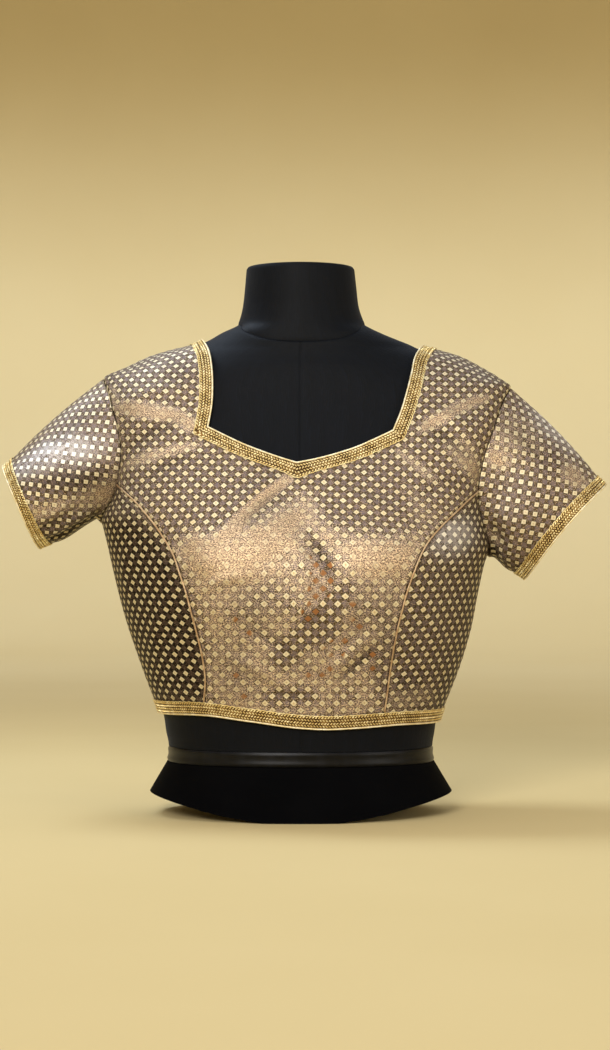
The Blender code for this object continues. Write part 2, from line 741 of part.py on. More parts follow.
def fold_depth(fold, angle, part):
    """How deep a sleeve's trough is at this angle and part of the sleeve's length."""
    if not fold.start < part < fold.end:
        return 0.0
    if part < fold.peak:
        along = (part - fold.start) / (fold.peak - fold.start)
    else:
        along = (fold.end - part) / (fold.end - fold.peak)
    way = (part - fold.start) / (fold.end - fold.start)
    centre = fold.angle + (fold.end_angle - fold.angle) * way
    away = (angle - centre + 180) % 360 - 180
    return fold.depth * math.sin(math.pi / 2 * along) ** 2 * math.exp(-((away / fold.width) ** 2))


def armhole_stations(side):
    """The angles of every point round an armhole, forwards from its top."""
    front, back = armhole_angles(side, FRONT), armhole_angles(side, BACK)
    junction = front[0]
    low = [junction + (180.0 - junction) * k / SIDE_COLUMNS for k in range(1, SIDE_COLUMNS + 1)]
    return front[::-1] + low + back[1:-1]


def new_object(name, mesh, material, collection):
    obj = bpy.data.objects.new(name, mesh)
    mesh.materials.append(material)
    mesh.shade_smooth()
    mesh.set_sharp_from_angle(angle=math.radians(40))
    collection.objects.link(obj)
    return obj


def drawn_in(sheet, distance):
    """Moves a sheet's open edges inwards by this distance, mitred at its corners."""
    moves = {}
    for vert in sheet.verts:
        ways = []
        for edge in vert.link_edges:
            if edge.is_boundary:
                face = edge.link_faces[0]
                along = (edge.verts[1].co - edge.verts[0].co).normalized()
                way = face.normal.cross(along)
                inside = face.calc_center_median() - edge.verts[0].co
                ways.append(way if way.dot(inside) > 0 else -way)
        if len(ways) == 2:
            moves[vert] = (ways[0] + ways[1]) * distance / (1 + ways[0].dot(ways[1]))
    for vert, move in moves.items():
        vert.co += move


def sheet_object(name, groups, wall, material, collection, edge_gap=GAP / 2):
    """A cloth piece from one or more groups of points, thickened by a Solidify modifier.

    A wall above zero is added outside the points, and one below zero inside them.
    """
    sheet = bmesh.new()
    for points in groups:
        verts = {key: sheet.verts.new(point * MM) for key, point in points.items()}
        for row, column in points:
            cell = [(row, column), (row, column + 1), (row + 1, column + 1), (row + 1, column)]
            if all(corner in verts for corner in cell):
                sheet.faces.new([verts[corner] for corner in cell])
    bmesh.ops.remove_doubles(sheet, verts=sheet.verts, dist=0.01 * MM)
    sheet.normal_update()
    drawn_in(sheet, edge_gap * MM)
    mesh = bpy.data.meshes.new(name)
    sheet.to_mesh(mesh)
    sheet.free()
    obj = new_object(name, mesh, material, collection)
    solidify = obj.modifiers.new("Wall", "SOLIDIFY")
    solidify.thickness = abs(wall) * MM
    solidify.offset = math.copysign(1.0, wall)
    obj.modifiers.new("Crisp rims", "WEIGHTED_NORMAL")
    return obj


def solid_object(name, rings, material, collection):
    """A closed solid through rings of points, lowest first, with a fan across each end."""
    solid = bmesh.new()
    rows = [[solid.verts.new(point * MM) for point in ring] for ring in rings]
    for low, high in zip(rows, rows[1:]):
        for k in range(len(low)):
            after = (k + 1) % len(low)
            solid.faces.new((low[k], low[after], high[after], high[k]))
    for row, flip in ((rows[0], True), (rows[-1], False)):
        centre = solid.verts.new(sum((vert.co for vert in row), Vector()) / len(row))
        for k in range(len(row)):
            fan = (row[k], row[(k + 1) % len(row)], centre)
            solid.faces.new(fan[::-1] if flip else fan)
    mesh = bpy.data.meshes.new(name)
    solid.to_mesh(mesh)
    solid.free()
    return new_object(name, mesh, material, collection)


def neck_seam(turn):
    """The height of the seam between the form's chest and its neck."""
    ahead = math.cos(math.radians(turn))
    if ahead > 0:
        return NECK_SEAM_SIDE + (NECK_SEAM_FRONT - NECK_SEAM_SIDE) * ahead**2.5
    return NECK_SEAM_SIDE + (NECK_SEAM_BACK - NECK_SEAM_SIDE) * -ahead


def form_turns():
    return [360.0 * k / FORM_STATIONS for k in range(FORM_STATIONS)]


def form_ring(height_at):
    """Points of the form round a ring whose height is a function of the turn."""
    return [FORM.point((turn, height_at(turn))) for turn in form_turns()]


def level_ring(height):
    return form_ring(lambda turn: height)


def shoulder_ring(part):
    """A ring this part of the way from the level shoulder ring to the underside of the neck's seam."""
    return form_ring(
        lambda turn: SHOULDER_START + (neck_seam(turn) - GAP / 2 - SHOULDER_START) * part
    )


def neck_ring(part):
    """A ring this part of the way from the neck's seam to its top."""
    return form_ring(lambda turn: neck_seam(turn) + GAP / 2 + (NECK_TOP - neck_seam(turn) - GAP / 2) * part)


def flare_ring():
    """Points round the base's flared foot, before its underside is cut."""
    points = []
    for turn in form_turns():
        across, ahead = math.sin(math.radians(turn)), math.cos(math.radians(turn))
        spread = (abs(across) ** BASE_SQUARE + abs(ahead) ** BASE_SQUARE) ** (-1 / BASE_SQUARE)
        points.append(Vector((BASE_HALF_WIDTH * across, -BASE_HALF_DEPTH * ahead, 0)) * spread)
    return points


def cut_sole(base):
    """Trims the base's underside to a flat sole that rises in slopes to each side."""
    solid = bmesh.new()
    solid.from_mesh(base.data)
    for side in SIDES.values():
        lift = slope = last = 0.0
        for start, steeper in SOLE_CUTS:
            lift += slope * (start - last)
            slope += steeper
            last = start
            cut = bmesh.ops.bisect_plane(
                solid,
                geom=solid.verts[:] + solid.edges[:] + solid.faces[:],
                plane_co=Vector((side * start, 0, lift)) * MM,
                plane_no=Vector((side * slope, 0, -1)).normalized(),
                clear_outer=True,
            )
            edges = [item for item in cut["geom_cut"] if isinstance(item, bmesh.types.BMEdge)]
            bmesh.ops.holes_fill(solid, edges=edges)
    bmesh.ops.recalc_face_normals(solid, faces=solid.faces)
    solid.to_mesh(base.data)
    solid.free()


def build_form(collection, jersey, satin, base_black):
    """The dress form: torso, neck, waist band and flared base, stacked with small gaps."""
    torso = [level_ring(height) for height in (BAND_TOP + GAP, *TORSO_LEVELS, SHOULDER_START)]
    torso += [shoulder_ring(part) for part in SHOULDER_PARTS]
    solid_object("form_torso", torso, jersey, collection)
    solid_object("form_neck", [neck_ring(part) for part in NECK_PARTS], jersey, collection)
    band = [level_ring(height) for height in (BAND_BOTTOM, BAND_MIDDLE, BAND_TOP)]
    solid_object("form_waist_band", band, satin, collection)
    top = [point - Vector((0, 0, GAP)) for point in level_ring(BAND_BOTTOM)]
    foot = flare_ring()
    rings = [[low.lerp(high, part) for low, high in zip(foot, top)] for part in (0.0, 0.5, 1.0)]
    cut_sole(solid_object("form_base", rings, base_black, collection))


def build_choli(collection, brocade, braid, cord):
    """The blouse: panels, sleeves, placket, braid trims and piping, each its own object."""
    front = {**body_half(LEFT, FRONT), **body_half(RIGHT, FRONT)}
    backs = {name: body_half(side, BACK) for name, side in SIDES.items()}
    flanks = {name: side_panel(side) for name, side in SIDES.items()}
    sleeves = {name: sleeve_points(side) for name, side in SIDES.items()}
    sheet_object("front_centre", [on_choli(front)], -CLOTH, brocade, collection)
    for name in SIDES:
        sheet_object(f"front_side_{name}", [on_choli(flanks[name])], -CLOTH, brocade, collection)
        sheet_object(f"back_{name}", [on_back(backs[name])], -CLOTH, brocade, collection)
        sheet_object(f"sleeve_{name}", [sleeves[name]], -CLOTH, brocade, collection, edge_gap=0.0)

    hem = [band_rows(front, 0, 1), *(band_rows(flank, 0, 1) for flank in flanks.values())]
    hem_points = [on_choli(spots, GAP) for spots in hem]
    hem_points += [on_back(band_rows(back, 0, 1), GAP) for back in backs.values()]
    sheet_object("hem_trim", hem_points, BRAID, braid, collection)
    neck_points = [on_choli(neck_band(front, FRONT), GAP)]
    neck_points += [on_back(neck_band(back, BACK), GAP) for back in backs.values()]
    sheet_object("neck_trim", neck_points, BRAID, braid, collection)
    for name, side in SIDES.items():
        cuff = cuff_band(sleeves[name])
        sheet_object(f"cuff_trim_{name}", [cuff], BRAID, braid, collection, edge_gap=0.0)
        piping(f"princess_piping_{name}", side, cord, collection)

    strips = []
    for back in backs.values():
        strip = {
            key: spot for key, spot in back.items() if abs(key[1]) <= 1 and 1 <= key[0] < BACK.neck_row
        }
        strips.append(on_back(strip, GAP))
    sheet_object("back_placket", strips, CLOTH, brocade, collection)


def on_back(spots, out=0.0):
    """Points of a back panel. Its rows run from the centre back, so its columns are turned round."""
    return {(row, -column): CHOLI.point(spot, out) for (row, column), spot in spots.items()}


def band_rows(spots, low, high):
    """The cells between two rows of a panel."""
    return {key: spot for key, spot in spots.items() if low <= key[0] <= high}


def neck_band(spots, face):
    """The cells of a panel that lie under the neck's braid."""
    neck = face.neck_row
    band = {}
    for (row, column), spot in spots.items():
        beside_strap = row >= neck and abs(column) in (CORNER_COLUMN, BRAID_COLUMN)
        below_edge = row in (neck - 1, neck) and abs(column) <= BRAID_COLUMN
        if beside_strap or below_edge:
            band[row, column] = spot
    return band


def cuff_band(sleeve):
    """The points of a cuff's braid, just outside the sleeve's last two rows."""
    lifted = {}
    for row in (SLEEVE_ROWS - 1, SLEEVE_ROWS):
        ring = {key: point for key, point in sleeve.items() if key[0] == row}
        centre = sum(ring.values(), Vector()) / len(ring)
        for key, point in ring.items():
            lifted[key] = point + (point - centre).normalized() * CUFF_BRAID_LIFT
    return lifted


def piping(name, side, cord, collection):
    """A thin cord laid along a princess seam, between the hem's braid and the armhole."""
    seam = princess_seam(side)[1:]
    points = [CHOLI.point(spot, GAP + PIPING_RADIUS) for spot in seam]
    points[0] = points[0].lerp(points[1], 0.08)
    points[-1] = points[-1].lerp(points[-2], 0.25)
    curve = bpy.data.curves.new(name, "CURVE")
    curve.dimensions = "3D"
    curve.bevel_depth = PIPING_RADIUS * MM
    curve.bevel_resolution = PIPING_SIDES_RESOLUTION
    curve.use_fill_caps = True
    spline = curve.splines.new("POLY")
    spline.points.add(len(points) - 1)
    for target, point in zip(spline.points, points):
        target.co = (*(point * MM), 1.0)
    obj = bpy.data.objects.new(name, curve)
    curve.materials.append(cord)
    collection.objects.link(obj)


def new_material(name, colour, roughness, metallic):
    material = bpy.data.materials.new(name)
    material.use_nodes = True
    shader = material.node_tree.nodes["Principled BSDF"]
    shader.inputs["Base Color"].default_value = (*colour, 1.0)
    shader.inputs["Roughness"].default_value = roughness
    shader.inputs["Metallic"].default_value = metallic
    return material


def main():
    for obj in list(bpy.data.objects):
        bpy.data.objects.remove(obj)
    collection = bpy.data.collections.new("Choli blouse on dress form")
    bpy.context.scene.collection.children.link(collection)
    brocade = new_material("Brocade", (0.33, 0.24, 0.15), 0.42, 0.6)
    braid = new_material("Gold braid", (0.62, 0.43, 0.16), 0.38, 0.8)
    cord = new_material("Piping cord", (0.66, 0.47, 0.30), 0.45, 0.5)
    jersey = new_material("Form jersey", (0.012, 0.012, 0.014), 0.7, 0.0)
    satin = new_material("Waist band satin", (0.03, 0.03, 0.035), 0.25, 0.0)
    base_black = new_material("Base black", (0.003, 0.003, 0.003), 0.6, 0.0)
    build_form(collection, jersey, satin, base_black)
    build_choli(collection, brocade, braid, cord)


main()
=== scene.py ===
"""Dresses a choli blouse and the dress form that wears it.

The panels and sleeves are thin brocade shells with their folds laid in one by one, the trims are gold
braid with stitches in relief, and the form has its jersey, satin band and flared base. Left is
-X as seen from the front. Shapes are worked out in millimetres and become metres when a mesh is
made. A spot is (turn, height): turn in degrees from the centre front, negative to the left.
"""

import logging
import math
from dataclasses import dataclass, field
from enum import Enum, IntEnum
from typing import Sequence

import bpy
import numpy as np
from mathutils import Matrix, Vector


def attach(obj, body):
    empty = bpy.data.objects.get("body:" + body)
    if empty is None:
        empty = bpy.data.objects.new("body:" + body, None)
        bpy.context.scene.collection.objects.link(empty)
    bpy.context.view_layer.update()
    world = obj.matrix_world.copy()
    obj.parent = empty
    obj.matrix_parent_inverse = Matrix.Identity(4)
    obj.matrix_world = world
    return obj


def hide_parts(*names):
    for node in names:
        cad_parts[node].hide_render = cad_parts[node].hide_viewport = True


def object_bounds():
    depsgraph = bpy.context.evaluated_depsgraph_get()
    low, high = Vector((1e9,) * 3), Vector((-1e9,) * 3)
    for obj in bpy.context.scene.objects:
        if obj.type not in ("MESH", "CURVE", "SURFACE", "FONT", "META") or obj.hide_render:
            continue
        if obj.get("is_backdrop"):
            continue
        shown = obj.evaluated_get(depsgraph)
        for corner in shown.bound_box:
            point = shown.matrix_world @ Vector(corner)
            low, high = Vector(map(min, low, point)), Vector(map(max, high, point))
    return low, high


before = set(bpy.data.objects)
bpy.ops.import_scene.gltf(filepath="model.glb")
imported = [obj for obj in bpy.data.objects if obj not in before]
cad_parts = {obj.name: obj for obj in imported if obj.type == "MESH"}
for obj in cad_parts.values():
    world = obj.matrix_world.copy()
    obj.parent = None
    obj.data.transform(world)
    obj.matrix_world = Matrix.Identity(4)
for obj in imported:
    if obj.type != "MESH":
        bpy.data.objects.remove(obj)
CAD_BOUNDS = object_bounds()

LOG = logging.getLogger("choli")
MM = 0.001
FULL_TURN = 2 * math.pi
Array = np.ndarray
Values = np.ndarray | float
Pair = tuple[float, float]
Spot = tuple[float, float]
Spots = dict[tuple[int, int], Spot]
Colour = tuple[float, float, float]
Material = bpy.types.Material
Piece = bpy.types.Object
Socket = bpy.types.NodeSocket


class Side(IntEnum):
    """A side of the blouse as seen from the front."""

    LEFT = -1
    RIGHT = 1

    @property
    def word(self) -> str:
        """The side's name in lower case."""
        return self.name.lower()


class Seen(Enum):
    """Which face of the body a mark lies on."""

    FRONT = "front"
    BACK = "back"


# Walls, gaps and trims, as in the solids
CLOTH = 1.2
GAP = 0.3
NECK_BRAID_WIDTH = 12.0
NECK_POINT_DROP = 3.5
HEM_BRAID_WIDTH = 12.5
CUFF_BRAID_WIDTH = 11.5
CUFF_BRAID_LIFT = 0.36
PLACKET_HALF_WIDTH = 9.0
SHOULDER_START = 399.0

# Each row: height, reach to the left, right, front and back, and squareness
FORM_RINGS = (
    (48, 122.5, 122, 85.6, 83.5, 2.2),
    (55, 121.2, 120.5, 86, 84, 2.2),
    (62, 121.3, 120.6, 87, 84.5, 2.2),
    (75, 123.8, 122.6, 89, 86, 2.2),
    (88, 125.6, 124.4, 91.5, 88.5, 2.2),
    (110, 133, 132, 98, 91, 2.2),
    (130, 140.2, 139.6, 103.5, 94, 2.2),
    (171, 153.5, 151.6, 116, 99, 2.2),
    (195, 159.5, 155.6, 121.5, 102, 2.2),
    (222, 163.5, 159.6, 122.5, 105, 2.3),
    (245, 163, 161.5, 117, 107.5, 2.5),
    (270, 160, 159, 108.5, 109, 3),
    (290, 159, 157.5, 101, 109, 3.6),
    (320, 160.5, 161, 89, 107, 4),
    (350, 166, 168.5, 77, 100, 3.8),
    (378, 173.5, 178.5, 67, 88, 3.1),
    (390, 175, 180, 63.5, 81, 2.7),
    (399, 169, 172.5, 61, 75, 2.4),
    (406, 156, 160.5, 59, 69, 2.25),
    (414.5, 137, 142, 56, 63, 2.1),
    (420, 118.5, 123.5, 54.5, 59, 2.05),
    (424.5, 103, 109.5, 53.5, 57, 2),
    (429.5, 91.5, 98.5, 53, 55, 2),
    (433, 84.5, 89.5, 52.5, 53.5, 2),
    (439.6, 73, 73.5, 52, 51.5, 2),
    (446.5, 59.3, 60.5, 51.5, 49, 2),
    (454, 55.8, 56.3, 51, 48, 2),
    (466, 53.2, 52.8, 50.5, 47, 2),
    (482, 51.5, 51, 50.5, 46.5, 2),
    (500, 50, 49, 50, 46, 2),
)
CHOLI_RINGS = (
    (70, 125.6, 124.2, 91, 88.5, 2.2),
    (88, 128.9, 128, 95.5, 92.5, 2.2),
    (110, 137, 136.4, 102, 95.5, 2.2),
    (130, 144.6, 144.2, 107.5, 98.5, 2.2),
    (150, 151.6, 150.8, 114, 101, 2.2),
    (171, 158.7, 156.5, 120, 104, 2.2),
    (195, 165.5, 161, 125.5, 107, 2.2),
    (222, 172, 166.5, 126.5, 110, 2.3),
    (245, 177, 171.5, 121, 112.5, 2.5),
    (258, 180, 169.5, 117, 113.5, 2.7),
    (267, 181.5, 167.3, 113.5, 114, 2.9),
    (286, 172, 163.3, 106.5, 114, 3.5),
    (301, 167.9, 164.5, 101, 113, 3.8),
    (320, 167.5, 169.5, 93, 111, 4),
    (350, 175.5, 181, 81, 104, 3.8),
    (378, 183.5, 189.5, 71, 92, 3.1),
    (389.5, 183.6, 192.3, 67.5, 85, 2.7),
    (397.7, 181.2, 183, 65, 79.5, 2.4),
    (409, 158.5, 164.3, 61.5, 71.5, 2.2),
    (418, 139, 146.5, 59, 65, 2.1),
    (424, 119.5, 126.5, 57.5, 61, 2.05),
    (427.5, 104.5, 109.5, 57, 59.5, 2),
    (430.5, 95.5, 101, 56.5, 58, 2),
    (433, 89.5, 95, 56, 57, 2),
    (440, 80, 90, 55, 55, 2),
)


def eased(part: Values) -> Values:
    """A smooth step for parts from 0 to 1."""
    return part * part * (3 - 2 * part)


def bell(away: Values, width: float) -> Values:
    """A soft bump, 1 at no distance and fading over the width."""
    return np.exp(-((away / width) ** 2))


def unit(ways: Array) -> Array:
    """Directions with a length of one."""
    return ways / np.linalg.norm(ways, axis=-1, keepdims=True)


def lengths_along(points: Array) -> Array:
    """The length of a run up to each of its points."""
    return np.concatenate(([0.0], np.cumsum(np.linalg.norm(np.diff(points, axis=0), axis=1))))


def from_line(points: Array, start: Array, end: Array) -> tuple[Array, Array]:
    """How far points lie from a straight line, and how far along it they are.

    Args:
        points: The points.
        start: The line's start.
        end: Its end.

    Returns:
        The distances, and the parts of the line from 0 to 1.
    """
    run = end - start
    part = np.clip((points - start) @ run / max(float(run @ run), 1e-9), 0, 1)
    return np.linalg.norm(points - start - part[..., None] * run, axis=-1), part


@dataclass(frozen=True)
class Swell:
    """A soft rise, or a hollow where it is negative, round a straight line seen from the front."""

    across: float
    height: float
    end_across: float
    end_height: float
    radius: float
    rise: float

    def at(self, points: Array) -> Array:
        """How far the swell lifts each point.

        Args:
            points: The points.

        Returns:
            The rise of each.
        """
        start, end = np.array((self.across, self.height)), np.array((self.end_across, self.end_height))
        return self.rise * bell(from_line(points[..., [0, 2]], start, end)[0], self.radius)


CUPS = (Swell(-72, 220, -66, 232, 56, 8.0), Swell(66, 216, 72, 228, 56, 8.0))
BLADES = (Swell(-74, 318, -70, 340, 52, 4.5), Swell(74, 316, 74, 338, 52, 4.5), Swell(0, 120, 0, 190, 26, -2.0))
SWELL_FADE = 36.0
FRONT_FOLDS = (
    Swell(-20, 266, -78, 236, 17, 1.8), Swell(22, 262, 84, 238, 17, 1.8), Swell(8, 256, 30, 205, 16, -1.6),
    Swell(36, 136, 74, 166, 15, 1.6), Swell(-62, 122, -18, 150, 16, 1.4),
    Swell(-150, 372, -108, 350, 16, 1.6), Swell(158, 352, 112, 336, 16, 1.6),
)
BACK_FOLDS = (
    Swell(-128, 262, -64, 232, 24, 2.0), Swell(124, 246, 62, 222, 24, 2.0),
    Swell(-92, 148, -38, 170, 22, 1.6), Swell(34, 160, 90, 132, 22, 1.6),
)


class SmoothColumn:
    """A curve that runs smoothly through values at their places, with no overshoot."""

    def __init__(self, places: Array, values: Array) -> None:
        """Works out the bend at each place.

        Args:
            places: Rising places.
            values: The value at each.
        """
        self.places, self.values = np.asarray(places, float), np.asarray(values, float)
        self.steps = np.diff(self.places)
        slopes = np.diff(self.values) / self.steps
        before, after = slopes[:-1], slopes[1:]
        same = before * after > 0
        total = np.where(same, before + after, 1.0)
        inner = np.where(same, 2 * before * after / total, 0.0)
        self.bends = np.concatenate(([slopes[0]], inner, [slopes[-1]]))

    def __call__(self, place: Values) -> Array:
        """The value at each place.

        Args:
            place: One place or an array of them.

        Returns:
            The value or values.
        """
        place = np.asarray(place, float)
        k = np.clip(np.searchsorted(self.places, place, side="right") - 1, 0, len(self.steps) - 1)
        step = self.steps[k]
        t = np.clip((place - self.places[k]) / step, 0.0, 1.0)
        return (
            self.values[k] * (1 + 2 * t) * (1 - t) ** 2
            + self.bends[k] * step * t * (1 - t) ** 2
            + self.values[k + 1] * t * t * (3 - 2 * t)
            + self.bends[k + 1] * step * t * t * (t - 1)
        )


class Hull:
    """A smooth body through level rings, with soft swells on its front and back."""

    NUDGE = 0.05
    LIMIT = 1e-6

    def __init__(self, rings: Sequence[Sequence[float]], front: Sequence[Swell], back: Sequence[Swell]) -> None:
        """Keeps the rings as smooth columns.

        Args:
            rings: Rows of height, left, right, front, back and squareness.
            front: The swells on the front.
            back: The swells on the back.
        """
        table = np.array(rings)
        self.columns = [SmoothColumn(table[:, 0], table[:, k]) for k in range(1, 6)]
        self.front, self.back = front, back

    def skin(self, spots: Array) -> Array:
        """Points of the plain body, without its swells.

        Args:
            spots: The spots.

        Returns:
            The points, with their coordinates last.
        """
        turn, height = np.moveaxis(np.asarray(spots, float), -1, 0)
        left, right, front, back, square = (column(height) for column in self.columns)
        across, ahead = np.sin(np.radians(turn)), np.cos(np.radians(turn))
        spread = (np.abs(across) ** square + np.abs(ahead) ** square) ** (-1 / square)
        width, depth = np.where(across > 0, right, left), np.where(ahead > 0, front, back)
        return np.stack((width * spread * across, -depth * spread * ahead, height), -1)

    def tangents(self, spots: Array) -> list[Array]:
        """How points move for each degree of turn and for each millimetre of height."""
        steps = np.eye(2) * self.NUDGE
        return [(self.skin(spots + step) - self.skin(spots - step)) / (2 * self.NUDGE) for step in steps]

    def normal(self, spots: Array) -> Array:
        """Outward directions of the plain body at spots."""
        return unit(np.cross(*self.tangents(spots)))

    def rise(self, points: Array) -> Array:
        """How far the swells lift points of the plain body.

        Args:
            points: The points.

        Returns:
            The rise of each.
        """
        front, back = (sum(swell.at(points) for swell in swells) for swells in (self.front, self.back))
        fade = np.minimum(np.abs(points[..., 1]) / SWELL_FADE, 1.0)
        return np.where(points[..., 1] < 0, front, back) * eased(fade)

    def point(self, spots: Array, out: Values = 0.0) -> Array:
        """Points of the body, moved out by this much.

        Args:
            spots: The spots.
            out: The move along the outward direction.

        Returns:
            The points.
        """
        points = self.skin(spots)
        return points + self.normal(spots) * np.asarray(out + self.rise(points))[..., None]

    def at_across(self, across: float, height: float, is_back: bool) -> Spot:
        """The spot of the front or back at this place, seen from the front.

        Args:
            across: Millimetres from the middle.
            height: The height.
            is_back: Whether it lies on the back.

        Returns:
            The spot.
        """
        left, right, _, _, square = (float(column(height)) for column in self.columns)
        part = min((abs(across) / (right if across > 0 else left)) ** square, 1 - self.LIMIT)
        turn = math.degrees(math.atan((part / (1 - part)) ** (1 / square)))
        return (math.copysign(180 - turn if is_back else turn, across), height)

    def at_depth(self, side: int, depth: float, height: float) -> Spot:
        """The spot of one side this far behind the side line.

        Args:
            side: The side.
            depth: Millimetres behind the line, or in front of it if negative.
            height: The height.

        Returns:
            The spot.
        """
        _, _, front, back, square = (float(column(height)) for column in self.columns)
        part = (abs(depth) / (front if depth < 0 else back)) ** square
        part = min(max(part, self.LIMIT**2), 1 - self.LIMIT)
        turn = math.degrees(math.atan(((1 - part) / part) ** (1 / square)))
        return (side * (180 - turn if depth > 0 else turn), height)

    def ridge(self, side: int, across: float) -> Spot:
        """The spot on the shoulder ridge this far across.

        Args:
            side: The side.
            across: Millimetres from the middle.

        Returns:
            The spot.
        """
        width = self.columns[0 if side < 0 else 1]
        low, high = SHOULDER_START - 10, CHOLI_RINGS[-1][0]
        while high - low > 0.001:
            middle = (low + high) / 2
            low, high = (middle, high) if width(middle) > across else (low, middle)
        return (side * 90.0, low)

    def beside(self, before: Spot | None, here: Spot, after: Spot | None, width: float) -> Spot:
        """The spot moved sideways on the body, to the right of a run and mitred at its bends.

        Args:
            before: The spot before it on the run, or None at its start.
            here: The spot.
            after: The spot after it, or None at its end.
            width: How far it moves.

        Returns:
            The moved spot.
        """
        normal = self.normal(here)
        ways = []
        for start, end in ((before, here), (here, after)):
            if start is not None and end is not None:
                ways.append(unit(np.cross(self.skin(end) - self.skin(start), normal)))
        move = sum(ways) / (1 + ways[0] @ ways[-1]) if len(ways) == 2 else ways[0]
        move = move * width
        along, up = self.tangents(here)
        cross = along @ up
        determinant = (along @ along) * (up @ up) - cross**2
        turn = ((move @ along) * (up @ up) - (move @ up) * cross) / determinant
        rise = ((move @ up) * (along @ along) - (move @ along) * cross) / determinant
        moved = self.skin((here[0] + turn, here[1] + rise))
        scale = np.linalg.norm(move) / np.linalg.norm(moved - self.skin(here))
        return (here[0] + turn * scale, here[1] + rise * scale)

    def nearest(self, points: Array, spots: Array) -> Array:
        """The spots of the plain body nearest to points.

        Args:
            points: The points.
            spots: A first guess at their spots.

        Returns:
            The spots.
        """
        for _ in range(5):
            along, up = self.tangents(spots)
            move = points - self.skin(spots)
            pairs = ((along, along), (along, up), (up, up), (move, along), (move, up))
            a, b, c, p, q = ((x * y).sum(-1) for x, y in pairs)
            spots = spots + np.stack((p * c - q * b, q * a - p * b), -1) / (a * c - b * b)[..., None]
        return spots

    def raised(self, spot: Spot, rise: float) -> Spot:
        """The spot this far up the body's skin."""
        return (spot[0], spot[1] + rise / float(np.linalg.norm(self.tangents(spot)[1])))


FORM = Hull(FORM_RINGS, CUPS, BLADES)
CHOLI = Hull(CHOLI_RINGS, CUPS + FRONT_FOLDS, BLADES + BACK_FOLDS)


def curve_through(stops: Sequence[Pair], steps: int = 24) -> Array:
    """Closely spaced points of a smooth curve through the stops, both ends included.

    Args:
        stops: The points that it passes.
        steps: How many points each stretch takes.

    Returns:
        The curve's points, one a row.
    """
    stops = np.asarray(stops, float)
    knots = np.concatenate(([2 * stops[0] - stops[1]], stops, [2 * stops[-1] - stops[-2]]))
    t = (np.arange(steps) / steps).reshape(-1, *(1,) * (stops.ndim - 1))
    fine = []
    for p, q, r, s in zip(knots, knots[1:], knots[2:], knots[3:]):
        bend = (2 * p - 5 * q + 4 * r - s) * t * t + (3 * q - p - 3 * r + s) * t**3
        fine.append(q + ((r - p) * t + bend) / 2)
    return np.concatenate((*fine, stops[-1:]))


def refined(values: Array, factor: int, breaks: Sequence[int] = ()) -> Array:
    """Smoothly fills in steps between rows of values.

    Args:
        values: Rows of values.
        factor: How many steps each old step becomes.
        breaks: The rows at which the run may bend sharply.

    Returns:
        The filled rows.
    """
    cuts = sorted({0, *breaks, len(values) - 1})
    runs = [curve_through(values[start : end + 1], factor) for start, end in zip(cuts, cuts[1:])]
    filled = np.concatenate([run[:-1] for run in runs] + [runs[-1][-1:]])
    filled[::factor] = values
    return filled


@dataclass(frozen=True)
class Neckline:
    """One side of a neck edge: along its bottom from the centre, then up beside the strap."""

    bottom: tuple[Pair, ...]
    corner: Pair
    strap: tuple[Pair, ...]
    shoulder: float


@dataclass(frozen=True)
class Armhole:
    """An upright oval where a sleeve is set in; the princess seam meets it at the junction."""

    top: float
    bottom: float
    reach: float
    junction: float

    @property
    def middle(self) -> float:
        """The height of its middle."""
        return (self.top + self.bottom) / 2

    @property
    def half(self) -> float:
        """Half its height."""
        return (self.top - self.bottom) / 2


@dataclass(frozen=True)
class Face:
    """The front or back of the body: its necklines, its hem and the row its neck edge is on."""

    is_back: bool
    necklines: dict[Side, Neckline]
    hem: tuple[Pair, ...]
    neck_row: int


FRONT = Face(
    is_back=False,
    necklines={
        Side.LEFT: Neckline(
            bottom=((-3.5, 317.5), (-18, 321.8), (-50, 333.8)),
            corner=(-82, 349.5),
            strap=((-79, 368), (-78.5, 392), (-81.5, 417)),
            shoulder=90,
        ),
        Side.RIGHT: Neckline(
            bottom=((-3.5, 317.5), (16, 321.4), (48, 331)),
            corner=(81.5, 346.5),
            strap=((89, 365), (97, 392), (103, 416)),
            shoulder=112,
        ),
    },
    hem=((-131, 92.3), (-90, 94), (-45, 89.3), (0, 83.5), (24, 82.3), (54, 83.4), (89, 85.2), (129, 84.5)),
    neck_row=16,
)
BACK = Face(
    is_back=True,
    necklines={
        Side.LEFT: Neckline(
            bottom=((0, 352), (-38, 354.5)),
            corner=(-76, 363),
            strap=((-78, 382), (-81, 402), (-85, 421)),
            shoulder=90,
        ),
        Side.RIGHT: Neckline(
            bottom=((0, 352), (38, 353)), corner=(78, 360), strap=((86, 380), (95, 400), (105, 418)), shoulder=112
        ),
    },
    hem=((-131, 92.3), (-60, 87.5), (0, 85), (60, 84), (129, 84.5)),
    neck_row=19,
)

# Princess seams, from the hem up to the armhole
PRINCESS = {
    Side.LEFT: ((-82.5, 94), (-84, 132), (-90.5, 173), (-102, 219), (-118, 250), (-142, 279)),
    Side.RIGHT: ((71.5, 86), (77.5, 128), (82, 169.5), (92.5, 213), (108.5, 246), (140, 277.5)),
}
ARMHOLES = {
    Side.LEFT: Armhole(top=397.7, bottom=265, reach=56, junction=299.5),
    Side.RIGHT: Armhole(top=389.5, bottom=236, reach=56, junction=294.5),
}

# Columns run from the centre to the side; rows run up from the hem
CORNER_COLUMN, BRAID_COLUMN, OUTER_COLUMN = 5, 6, 11
SIDE_COLUMNS = 6
STRAP_ROWS = 8
STRAP_CLOSENESS = 1.2
RIDGE_CLOSENESS = 1.3
JUNCTION_ROW = 12


